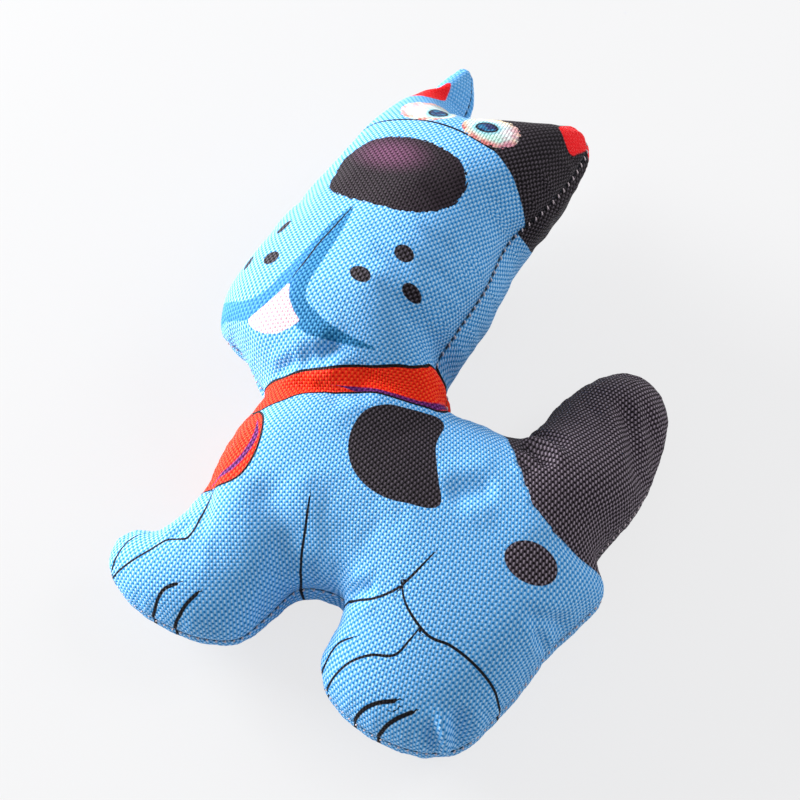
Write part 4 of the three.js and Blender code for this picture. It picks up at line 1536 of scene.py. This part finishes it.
    def stitch(
        self, middle: np.ndarray, along: np.ndarray, inward: np.ndarray
    ) -> tuple[np.ndarray, np.ndarray]:
        """One stitch, a short rounded bar across the seam's fold.

        Args:
            middle: Its middle on the flat pattern.
            along: The seam's direction there.
            inward: The direction into the pattern.

        Returns:
            Its points in millimetres and its faces' corners.
        """
        rings = ((-0.5, 0.08), (-0.36, 0.16), (0.0, 0.2), (0.36, 0.16), (0.5, 0.08))
        around = 6
        height, radius = np.repeat(np.array(rings), around, axis=0).T
        turn = np.tile(math.tau * np.arange(around) / around, len(rings))
        bow = 0.2 * (1 - (height / 0.5) ** 2)
        sideways = np.cos(turn) * radius * 1.3 + 0.35 * height
        flat = middle + np.outer(sideways, along) + np.outer(np.sin(turn) * radius - bow, inward)
        faces = ring_faces(len(rings), around)
        top = (len(rings) - 1) * around
        faces += [[0, 5, 4, 3], [0, 3, 2, 1]]
        faces += [[top, top + 1, top + 2, top + 3], [top, top + 3, top + 4, top + 5]]
        return self.place(flat, height * 1.1), np.array(faces)


def srgb(red: float, green: float, blue: float) -> tuple[float, float, float, float]:
    """A colour as Blender wants it, from the bytes that a screen shows.

    Args:
        red: The red byte.
        green: The green byte.
        blue: The blue byte.

    Returns:
        The colour's linear shares, and 1 for its cover.
    """
    parts = []
    for byte in (red, green, blue):
        share = byte / 255
        parts.append(share / 12.92 if share <= 0.04045 else ((share + 0.055) / 1.055) ** 2.4)
    return (*parts, 1.0)


@dataclass(frozen=True)
class Signal:
    """One socket of a shader, with arithmetic that adds the nodes for it."""

    graph: "ShaderGraph"
    socket: bpy.types.NodeSocket

    def __add__(self, other: "Signal | float") -> "Signal":
        """Adds a signal or a number."""
        return self.graph.math("ADD", self, other)

    def __radd__(self, other: float) -> "Signal":
        """Adds this signal to a number."""
        return self.graph.math("ADD", other, self)

    def __sub__(self, other: "Signal | float") -> "Signal":
        """Takes a signal or a number away."""
        return self.graph.math("SUBTRACT", self, other)

    def __rsub__(self, other: float) -> "Signal":
        """Takes this signal away from a number."""
        return self.graph.math("SUBTRACT", other, self)

    def __mul__(self, other: "Signal | float") -> "Signal":
        """Multiplies by a signal or a number."""
        return self.graph.math("MULTIPLY", self, other)

    def __rmul__(self, other: float) -> "Signal":
        """Multiplies a number by this signal."""
        return self.graph.math("MULTIPLY", other, self)

    def __truediv__(self, other: "Signal | float") -> "Signal":
        """Divides by a signal or a number."""
        return self.graph.math("DIVIDE", self, other)

    def __rtruediv__(self, other: float) -> "Signal":
        """Divides a number by this signal."""
        return self.graph.math("DIVIDE", other, self)

    def __neg__(self) -> "Signal":
        """Turns the sign round."""
        return self.graph.math("MULTIPLY", self, -1.0)


class ShaderGraph:
    """A material's nodes, added one call at a time."""

    def __init__(self, name: str) -> None:
        """Makes a material with an empty Principled shader.

        Args:
            name: The material's name.
        """
        self.material = bpy.data.materials.new(name)
        self.material.use_nodes = True
        self.tree = self.material.node_tree
        self.tree.nodes.clear()
        self.output = self.tree.nodes.new("ShaderNodeOutputMaterial")

    def node(self, kind: str, settings: dict | None = None, inputs: dict | None = None) -> bpy.types.Node:
        """Adds a node, sets it, then fills or links its sockets.

        Args:
            kind: The node's type.
            settings: Its settings, by name.
            inputs: Values or signals for its sockets, by name or number.

        Returns:
            The node.
        """
        made = self.tree.nodes.new(kind)
        for name, value in (settings or {}).items():
            setattr(made, name, value)
        for name, value in (inputs or {}).items():
            if isinstance(value, Signal):
                self.tree.links.new(value.socket, made.inputs[name])
            else:
                made.inputs[name].default_value = value
        return made

    def math(self, operation: str, *values: Signal | float) -> Signal:
        """Adds one step of arithmetic."""
        made = self.node("ShaderNodeMath", {"operation": operation}, dict(enumerate(values)))
        return Signal(self, made.outputs[0])

    def ramp(self, value: Signal, low: float, high: float) -> Signal:
        """A smooth change from 0 at low to 1 at high.

        Args:
            value: What changes it.
            low: Where it is 0.
            high: Where it is 1.

        Returns:
            The ramp.
        """
        inputs = {"Value": value, "From Min": low, "From Max": high, "To Min": 0.0, "To Max": 1.0}
        made = self.node("ShaderNodeMapRange", {"interpolation_type": "SMOOTHSTEP"}, inputs)
        return Signal(self, made.outputs[0])

    def mix(self, share: Signal | float, first: Signal | tuple, second: Signal | tuple) -> Signal:
        """Mixes two colours.

        Args:
            share: The second colour's share.
            first: The first colour.
            second: The second colour.

        Returns:
            The mixed colour.
        """
        settings = {"data_type": "RGBA", "clamp_factor": True}
        made = self.node("ShaderNodeMix", settings, {0: share, 6: first, 7: second})
        return Signal(self, made.outputs[2])

    def vector(self, operation: str, *values: Signal | tuple) -> Signal:
        """Adds one step of vector arithmetic, and gives its vector or its number."""
        made = self.node("ShaderNodeVectorMath", {"operation": operation}, dict(enumerate(values)))
        return Signal(self, made.outputs["Value" if operation in ("LENGTH", "DISTANCE") else "Vector"])

    def apart(self, value: Signal) -> tuple[Signal, Signal, Signal]:
        """The three numbers of a vector."""
        made = self.node("ShaderNodeSeparateXYZ", {}, {0: value})
        return tuple(Signal(self, output) for output in made.outputs)

    def attribute(self, name: str, output: str = "Fac") -> Signal:
        """A value that the mesh carries."""
        return Signal(self, self.node("ShaderNodeAttribute", {"attribute_name": name}).outputs[output])

    def uv(self, name: str) -> Signal:
        """A UV map of the mesh."""
        return Signal(self, self.node("ShaderNodeUVMap", {"uv_map": name}).outputs[0])

    def noise(self, place: Signal, scale: float, detail: float = 2.0, output: str = "Fac") -> Signal:
        """Soft noise around 0.5."""
        made = self.node("ShaderNodeTexNoise", {}, {"Vector": place, "Scale": scale, "Detail": detail})
        return Signal(self, made.outputs[output])

    def object_place(self) -> Signal:
        """The piece's own coordinates."""
        return Signal(self, self.node("ShaderNodeTexCoord").outputs["Object"])

    def surface(self, inputs: dict, height: Signal | None = None, lift: float = 0.1) -> bpy.types.Material:
        """Ends the graph with a Principled shader.

        Args:
            inputs: Values or signals for the shader's sockets.
            height: A relief for the surface, in shares of lift.
            lift: The relief's height in millimetres.

        Returns:
            The material.
        """
        if height is not None:
            bump = self.node("ShaderNodeBump", {}, {"Strength": 1.0, "Distance": lift * MM, "Height": height})
            inputs = inputs | {"Normal": Signal(self, bump.outputs[0])}
        shader = self.node("ShaderNodeBsdfPrincipled", {}, inputs)
        self.tree.links.new(shader.outputs[0], self.output.inputs[0])
        return self.material


@dataclass(frozen=True)
class Dye:
    """One ink on the weave: its colour, its colour on raised yarns, lighter partly as painted highlight, and
    its colour on sunk yarns, darker as painted shade.
    """

    base: tuple
    raised: tuple
    sunk: tuple

    def tones(self) -> tuple[tuple, tuple, tuple]:
        """The three colours."""
        return self.base, self.raised, self.sunk


@dataclass(frozen=True)
class PrintColours:
    """The print's inks."""

    # Each ink's raised colour is partly a painted highlight on the yarn crests, and its sunk colour is
    # painted shade between the yarns.
    blue: Dye = Dye(srgb(96, 173, 236), srgb(198, 229, 253), srgb(30, 120, 188))
    shade: Dye = Dye(srgb(54, 134, 200), srgb(100, 172, 228), srgb(28, 104, 168))
    # The print's shade band on the right of the muzzle, darker partly as print and partly as painted shade.
    print_and_painted_deep_shade: Dye = Dye(srgb(20, 110, 166), srgb(90, 168, 212), srgb(2, 76, 124))
    black: Dye = Dye(srgb(29, 22, 29), srgb(94, 86, 95), srgb(5, 3, 5))
    # The tail's black: paler, with a much lighter raised colour, as painted sheen.
    sheen_painted_black: Dye = Dye(srgb(52, 42, 52), srgb(156, 144, 157), srgb(8, 4, 8))
    nose: Dye = Dye(srgb(28, 18, 26), srgb(62, 51, 60), srgb(9, 5, 8))
    sheen: Dye = Dye(srgb(90, 49, 77), srgb(128, 84, 114), srgb(44, 22, 38))
    tongue: Dye = Dye(srgb(236, 212, 219), srgb(246, 232, 236), srgb(220, 162, 178))
    red: Dye = Dye(srgb(255, 34, 0), srgb(255, 96, 36), srgb(216, 14, 0))
    ear: Dye = Dye(srgb(255, 26, 34), srgb(255, 56, 56), srgb(235, 10, 20))
    purple: Dye = Dye(srgb(92, 20, 96), srgb(140, 60, 146), srgb(60, 10, 66))
    line: Dye = Dye(srgb(13, 8, 12), srgb(26, 19, 25), srgb(6, 3, 6))


@dataclass(frozen=True)
class Weave:
    """What a weave gives to a material: relief, the crests that take a painted highlight, the hollows that
    take painted shade, and a number for each crossing.
    """

    height: Signal
    lit_crest: Signal
    shaded_hollow: Signal
    cell: Signal


@dataclass(frozen=True)
class WovenPrint:
    """Plain-woven polyester with a picture printed on it."""

    name: str
    yarn_pitch: float = 0.8
    yarn_lean: float = 0.05
    relief: float = 0.22
    colours: PrintColours = PrintColours()

    def build(self) -> bpy.types.Material:
        """Makes the material.

        Returns:
            The material.
        """
        g = ShaderGraph(self.name)
        picture = g.uv("picture")
        weave = self.weave(g)
        base, raised, sunk = self.printed(g, picture, weave.cell - 0.5)
        uneven = g.ramp(g.noise(g.uv("grain"), 0.7, 2.0), 0.25, 0.8) * 0.6 + weave.cell * 0.4
        # Painted shade in the hollows between the yarns, then a painted highlight on the raised crests,
        # partly the white yarn showing through the print.
        colour = g.mix(weave.shaded_hollow, base, sunk)
        colour = g.mix(weave.lit_crest * (0.6 + 0.4 * uneven), colour, raised)
        # Painted shade in the seam's fold.
        colour = self.painted_seam_shade(g, colour)
        inputs = {"Base Color": colour, "Roughness": 0.55 + 0.3 * weave.shaded_hollow, "Specular IOR Level": 0.14}
        slack = g.noise(picture, 0.35, 2.0)
        return g.surface(inputs, weave.height + 0.5 * slack, self.relief)

    def weave(self, g: ShaderGraph) -> Weave:
        """Plain weave, whose warp yarns stand up and lean a little.

        Args:
            g: The material's graph.

        Returns:
            The weave's signals.
        """
        across, along, _ = g.apart(g.uv("grain"))
        u, v = across / self.yarn_pitch, along / self.yarn_pitch
        a, b = g.math("FRACT", u) - 0.5, g.math("FRACT", v) - 0.5
        column, row = g.math("FLOOR", u), g.math("FLOOR", v)
        odd_u = 1 - 2 * g.math("FLOORED_MODULO", column, 2.0)
        odd_v = 1 - 2 * g.math("FLOORED_MODULO", row, 2.0)
        lean = self.yarn_lean * odd_u * g.math("COSINE", v * math.pi)
        round_warp, round_weft = g.math("COSINE", (a + lean) * math.pi), g.math("COSINE", b * math.pi)
        over = odd_u * g.math("SINE", v * math.pi)
        warp = 0.5 * round_warp + 0.5 * over
        weft = 0.45 * round_weft - 0.45 * odd_v * g.math("SINE", u * math.pi)
        up = g.apart(g.uv("picture"))[1]
        # The painted highlights on the crests and the painted shade in the hollows fade to half towards the
        # top of the head.
        fading_up_head = 1 - 0.5 * g.ramp(up, 84.0, 108.0)
        lit_crest = fading_up_head * g.ramp(round_warp, 0.5, 0.95) * g.ramp(over, -0.6, 0.5)
        shaded_hollow = fading_up_head * g.ramp(g.math("COSINE", a * math.pi) * -over, 0.15, 0.7)
        place = g.node("ShaderNodeCombineXYZ", {}, {0: column, 1: row})
        inputs = {"Vector": Signal(g, place.outputs[0])}
        cell = g.node("ShaderNodeTexWhiteNoise", {"noise_dimensions": "2D"}, inputs)
        return Weave(g.math("MAXIMUM", warp, weft), lit_crest, shaded_hollow, Signal(g, cell.outputs["Value"]))

    def area(self, g: ShaderGraph, ink: Ink, step: Signal, stepped: float = 0.0) -> Signal:
        """Where an ink's areas lie, 1 inside them.

        Args:
            g: The material's graph.
            ink: The ink.
            step: How far the ink's edge lies off in each crossing of the yarns, in shares of stepped.
            stepped: The edge's steps in millimetres.
        """
        soft = 0.14
        return 1 - g.ramp(g.attribute(ink.value) + step * stepped, -soft, soft)

    def line(self, g: ShaderGraph, ink: Ink) -> Signal:
        """Where an ink's lines lie, 1 on them."""
        across, distance, _ = g.apart(g.attribute(ink.value, "Vector"))
        return (1 - g.ramp(g.math("ABSOLUTE", across), 0.7, 1.3)) * (1 - g.ramp(distance, 1.6, 2.0))

    def printed(self, g: ShaderGraph, picture: Signal, step: Signal) -> tuple[Signal, Signal, Signal]:
        """The picture's colours on the cloth, on its raised yarns and on its sunk yarns.

        Args:
            g: The material's graph.
            picture: Places on the flat pattern.
            step: How far the ink's edge lies off in each crossing of the yarns.

        Returns:
            The three colours.
        """
        inks = self.colours
        across = g.apart(picture)[0]
        right, tail = g.ramp(across, -48.0, -43.0), g.ramp(across, 12.0, 26.0)
        red = self.area(g, Ink.RED, step)
        off = g.vector("MULTIPLY", g.vector("SUBTRACT", picture, (-42.0, 75.0, 0.0)), (0.075, 0.15, 0.0))
        sheen = 1 - g.ramp(g.vector("LENGTH", off), 0.1, 1.2)
        layers = (
            # Right of the muzzle the shade band darkens, partly print and partly painted shade.
            (self.area(g, Ink.SHADE, step), self.blend(g, right, inks.shade, inks.print_and_painted_deep_shade)),
            (self.area(g, Ink.TONGUE, step), inks.tongue.tones()),
            (red, inks.red.tones()),
            (self.line(g, Ink.PURPLE) * red, inks.purple.tones()),
            # Towards the tail the black turns paler, as painted sheen.
            (self.area(g, Ink.BLACK, step), self.blend(g, tail, inks.black, inks.sheen_painted_black)),
            (self.area(g, Ink.NOSE, step, 0.6), self.blend(g, sheen, inks.nose, inks.sheen)),
            (self.area(g, Ink.PINK, step), inks.ear.tones()),
            (self.line(g, Ink.LINE), inks.line.tones()),
            (self.area(g, Ink.EYE, step, 0.7), self.eye(g, picture)),
        )
        tones = inks.blue.tones()
        for share, over in layers:
            tones = tuple(g.mix(share, under, colour) for under, colour in zip(tones, over))
        return tones

    def blend(self, g: ShaderGraph, share: Signal, first: Dye, second: Dye) -> tuple[Signal, ...]:
        """The tones between two inks."""
        return tuple(g.mix(share, one, other) for one, other in zip(first.tones(), second.tones()))

    def eye(self, g: ShaderGraph, picture: Signal) -> tuple[Signal, Signal, Signal]:
        """The colours of a printed eye, a soft speckled rim round a bright ring and a dark iris.

        Args:
            g: The material's graph.
            picture: Places on the flat pattern.

        Returns:
            The eye's colour, and its colours on raised and on sunk yarns.
        """
        rim, iris = g.attribute(Ink.EYE.value), g.attribute(Ink.IRIS.value)
        outer = g.ramp(rim, -2.2, -0.3)
        across, up, _ = g.apart(picture)
        speck_x, speck_y, speck_z = g.apart(g.noise(picture, 0.42, 2.0, "Color"))
        low = 1 - g.ramp(up, 89.6, 92.8)
        left, right = 1 - g.ramp(across, -51.0, -46.0), g.ramp(across, -20.5, -16.5)
        white = g.mix(outer, srgb(234, 244, 245), srgb(247, 218, 180))
        white = g.mix(g.ramp(speck_z, 0.42, 0.62) * 0.55, white, srgb(158, 214, 218))
        white = g.mix(low * (1 - outer) * 0.7, white, srgb(150, 212, 190))
        white = g.mix(low * outer * g.ramp(speck_y, 0.3, 0.55), white, srgb(196, 100, 96))
        white = g.mix(left * g.ramp(speck_x, 0.36, 0.58) * 0.8, white, srgb(244, 136, 152))
        white = g.mix(right * g.ramp(speck_y, 0.3, 0.6) * 0.85, white, srgb(196, 126, 148))
        halo = g.mix(g.ramp(iris, 0.1, 1.2), srgb(132, 196, 212), white)
        bright = g.mix(g.ramp(speck_x, 0.48, 0.64), srgb(20, 34, 88), srgb(28, 112, 156))
        blue = g.mix(g.ramp(iris, -0.8, -0.4), bright, srgb(8, 9, 26))
        whole = g.mix(g.ramp(iris, -0.12, 0.12), blue, halo)
        seen = 1 - g.ramp(iris, -0.2, 0.2)
        # The eye's raised yarns get a painted highlight, weaker on the iris, and its sunk yarns get painted
        # shade.
        raised = g.mix(0.25 * (1 - 0.7 * seen), whole, srgb(255, 255, 255))
        return whole, raised, g.mix(0.3, whole, srgb(60, 60, 70))

    def painted_seam_shade(self, g: ShaderGraph, colour: Signal) -> Signal:
        """Paints shade on the cloth in the seam's fold, darkest between the stitches.

        Args:
            g: The material's graph.
            colour: The cloth's colour.

        Returns:
            The darkened colour.
        """
        along, distance, _ = g.apart(g.attribute("seam", "Vector"))
        beat = g.math("FRACT", along / STITCH_PITCH)
        dash = g.ramp(g.math("ABSOLUTE", beat - 0.5), 0.2, 0.32)
        near = 1 - g.ramp(distance, 0.3, 0.9)
        return g.mix(near * (0.3 + 0.6 * dash), colour, srgb(14, 18, 28))


@dataclass(frozen=True)
class Fibre:
    """Loose white polyester fibre."""

    name: str = "fibre"

    def build(self) -> bpy.types.Material:
        """Makes the material.

        Returns:
            The material.
        """
        g = ShaderGraph(self.name)
        place = g.object_place()
        strands = g.noise(place, 900.0, 6.0)
        clumps = g.noise(place, 120.0, 3.0)
        colour = g.mix(g.ramp(clumps, 0.3, 0.7), srgb(232, 232, 228), srgb(248, 248, 246))
        return g.surface({"Base Color": colour, "Roughness": 0.9, "Sheen Weight": 0.3}, strands + clumps, 0.6)


@dataclass(frozen=True)
class Plastic:
    """Moulded or blown plastic, with faint mottling and scuffs."""

    name: str
    colour: tuple
    roughness: float
    see_through: float = 0.0

    def build(self) -> bpy.types.Material:
        """Makes the material.

        Returns:
            The material.
        """
        g = ShaderGraph(self.name)
        place = g.object_place()
        mottle = g.noise(place, 220.0, 3.0)
        scuffs = g.noise(place, 1500.0, 5.0)
        darker = tuple(0.9 * part for part in self.colour[:3]) + (1.0,)
        colour = g.mix(g.ramp(mottle, 0.35, 0.65) * 0.5, self.colour, darker)
        roughness = self.roughness + 0.18 * g.ramp(scuffs, 0.45, 0.7)
        inputs = {"Base Color": colour, "Roughness": roughness, "Subsurface Weight": self.see_through}
        return g.surface(inputs, scuffs, 0.015)


@dataclass(frozen=True)
class Thread:
    """Twisted sewing thread."""

    name: str = "thread"

    def build(self) -> bpy.types.Material:
        """Makes the material.

        Returns:
            The material.
        """
        g = ShaderGraph(self.name)
        place = g.object_place()
        twist = g.noise(place, 5000.0, 2.0)
        colour = g.mix(g.ramp(twist, 0.35, 0.65), srgb(176, 160, 168), srgb(222, 208, 212))
        return g.surface({"Base Color": colour, "Roughness": 0.7, "Sheen Weight": 0.2}, twist, 0.05)


@dataclass
class Squeaker:
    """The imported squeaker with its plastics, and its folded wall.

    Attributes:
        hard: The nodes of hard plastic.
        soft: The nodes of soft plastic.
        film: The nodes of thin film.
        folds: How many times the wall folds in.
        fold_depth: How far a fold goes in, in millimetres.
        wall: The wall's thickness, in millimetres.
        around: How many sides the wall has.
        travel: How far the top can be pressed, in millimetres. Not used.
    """

    hard: tuple[str, ...] = ("squeaker_base", "reed_holder", "reed_clip")
    soft: tuple[str, ...] = ("squeaker_wall", "squeaker_top")
    film: tuple[str, ...] = ("reed",)
    folds: int = 3
    fold_depth: float = 3.2
    wall: float = 0.8
    around: int = 96
    travel: float = 7.0

    def folded_wall(self) -> bpy.types.Object:
        """Makes the wall where its node stands.

        Returns:
            The wall, a closed ring of rounded folds.
        """
        low, high = (np.array(corner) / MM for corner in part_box("squeaker_bellows"))
        middle, outer = (low + high)[:2] / 2, (high - low)[0] / 2
        heights = np.linspace(low[2], high[2], 8 * self.folds + 1)
        swing = np.cos(math.tau * self.folds * np.linspace(0, 1, len(heights)))
        radii = outer - self.fold_depth * (1 - swing) / 2
        section = [*zip(radii, heights), *zip(radii[::-1] - self.wall, heights[::-1])]
        points = np.array([(middle[0] + radius, middle[1], height) for radius, height in section])
        edges = tuple((i, (i + 1) % len(points)) for i in range(len(points)))
        wall = new_object("squeaker_wall", points, [], edges)
        select_only(wall)
        bpy.ops.object.mode_set(mode="EDIT")
        bpy.ops.mesh.select_all(action="SELECT")
        centre = (*(middle * MM), 0.0)
        bpy.ops.mesh.spin(steps=self.around, angle=math.tau, center=centre, axis=(0, 0, 1))
        bpy.ops.mesh.select_all(action="SELECT")
        bpy.ops.mesh.remove_doubles(threshold=0.001 * MM)
        bpy.ops.mesh.normals_make_consistent(inside=False)
        bpy.ops.object.mode_set(mode="OBJECT")
        shade_smooth(wall)
        return wall

    def dress(self) -> None:
        """Makes the wall and gives each part its plastic."""
        wall = self.folded_wall()
        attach(wall, Body.TORSO.value)
        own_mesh(wall)
        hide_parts("squeaker_bellows")
        finishes = (
            (self.hard, Plastic("moulded_polystyrene", srgb(246, 246, 242), 0.38)),
            (self.soft, Plastic("blown_polyethylene", srgb(232, 236, 238), 0.45, 0.3)),
            (self.film, Plastic("plastic_film", srgb(222, 214, 198), 0.3)),
        )
        for names, finish in finishes:
            material = finish.build()
            for name in names:
                node = bpy.data.objects[name]
                node.data.materials.clear()
                node.data.materials.append(material)
                log.info("%s: %s", name, material.name)


@dataclass
class SqueakyDog:
    """The whole toy: its cloth, stuffing, thread and squeaker."""

    pattern: DogPattern

    def build(self) -> None:
        """Makes and dresses every piece."""
        toy = StuffedToy(self.pattern)
        cloth = toy.build_cloth()
        stuffing = toy.build_stuffing()
        thread = toy.build_stitches()
        front, back = WovenPrint("printed_front").build(), WovenPrint("printed_back").build()
        for name, panel in cloth.items():
            panel.data.materials.append(front if name.startswith("front") else back)
            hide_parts("front_cover" if name.startswith("front") else "back_cover")
        fibre, cotton = Fibre().build(), Thread().build()
        for piece in stuffing.values():
            piece.data.materials.append(fibre)
        limbs = ("body", "head", "left_ear", "right_ear", "front_leg", "hind_leg")
        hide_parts(*[f"{limb}_filling" for limb in limbs])
        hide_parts("tail_filling")
        for piece in thread.values():
            piece.data.materials.append(cotton)
        Squeaker().dress()
        self.join(toy, [*cloth.values(), *stuffing.values(), *thread.values()])

    def join(self, toy: StuffedToy, pieces: list[bpy.types.Object]) -> None:
        """Bakes each piece's placement into its mesh.

        Args:
            toy: The toy that the pieces belong to.
            pieces: The pieces.
        """
        neck = np.array([*self.pattern.neck, 0.0]) + np.array(toy.middle)
        root = np.array([*self.pattern.tail_root, 0.0]) + np.array(toy.middle)
        for piece in pieces:
            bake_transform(piece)


@dataclass
class Studio:
    """The pale floor, the soft light and the camera."""

    target: tuple[float, float, float] = (-7.59, -8.81, 20.35)
    distance: float = 380.0
    azimuth: float = 31.0
    elevation: float = 62.0
    lens: float = 64.98
    window: tuple[float, float, float] = (-0.97, -0.08, 0.29)
    window_watts: float = 26.0
    beyond: tuple[float, float, float] = (0.55, 0.7, 0.75)
    beyond_watts: float = 5.0
    lamp_size: float = 0.5
    floor_size: float = 6.0
    floor_glow: float = 0.85
    world_strength: float = 0.46

    def build(self) -> None:
        """Sets up everything around the toy."""
        self.floor()
        self.light()
        self.camera()

    def floor(self) -> None:
        """A plain pale floor, and a world of the same paleness."""
        bpy.ops.object.select_all(action="DESELECT")
        bpy.ops.mesh.primitive_plane_add(size=self.floor_size, location=(0.0, 0.0, -0.2 * MM))
        floor = bpy.context.active_object
        floor.name = "floor"
        g = ShaderGraph("pale_floor")
        grain = g.noise(g.object_place(), 3.0, 2.0)
        colour = g.mix(grain * 0.1, srgb(243, 243, 243), srgb(236, 237, 239))
        diffuse = g.node("ShaderNodeBsdfDiffuse", {}, {"Color": colour})
        glow = g.node("ShaderNodeEmission", {}, {"Color": srgb(241, 241, 242), "Strength": 1.0})
        path = g.node("ShaderNodeLightPath")
        seen = Signal(g, path.outputs["Is Camera Ray"]) * self.floor_glow
        inputs = {0: seen, 1: Signal(g, diffuse.outputs[0]), 2: Signal(g, glow.outputs[0])}
        mixed = g.node("ShaderNodeMixShader", {}, inputs)
        g.tree.links.new(mixed.outputs[0], g.output.inputs[0])
        floor.data.materials.append(g.material)
        world = bpy.data.worlds.new("pale")
        bpy.context.scene.world = world
        world.use_nodes = True
        background = world.node_tree.nodes["Background"]
        background.inputs["Color"].default_value = srgb(240, 241, 243)
        background.inputs["Strength"].default_value = self.world_strength

    def light(self) -> None:
        """A low window on the left, and a weaker light beyond the tail."""
        lamps = (("window", self.window, self.window_watts), ("beyond", self.beyond, self.beyond_watts))
        for name, place, watts in lamps:
            bpy.ops.object.select_all(action="DESELECT")
            bpy.ops.object.light_add(type="AREA", location=place)
            lamp = bpy.context.active_object
            lamp.name = name
            lamp.data.size = self.lamp_size
            lamp.data.energy = watts
            lamp.rotation_euler = (-Vector(place)).to_track_quat("-Z", "Y").to_euler()

    def camera(self) -> None:
        """A camera where the photographer stood."""
        a, e = math.radians(self.azimuth), math.radians(self.elevation)
        back = Vector((math.sin(a) * math.cos(e), -math.cos(a) * math.cos(e), math.sin(e)))
        bpy.ops.object.select_all(action="DESELECT")
        bpy.ops.object.camera_add(location=(Vector(self.target) + back * self.distance) * MM)
        camera = bpy.context.active_object
        camera.rotation_euler = back.to_track_quat("Z", "Y").to_euler()
        camera.data.lens = self.lens
        camera.data.sensor_width = 36.0
        camera.data.clip_start, camera.data.clip_end = 0.01, 20.0
        bpy.context.scene.camera = camera


def main() -> None:
    """Builds the toy and its surroundings."""
    logging.basicConfig(level=logging.INFO, format="%(message)s")
    SqueakyDog(DogPattern()).build()
    Studio().build()
    bpy.context.scene.view_settings.view_transform = "Standard"


if __name__ == "__main__":
    main()
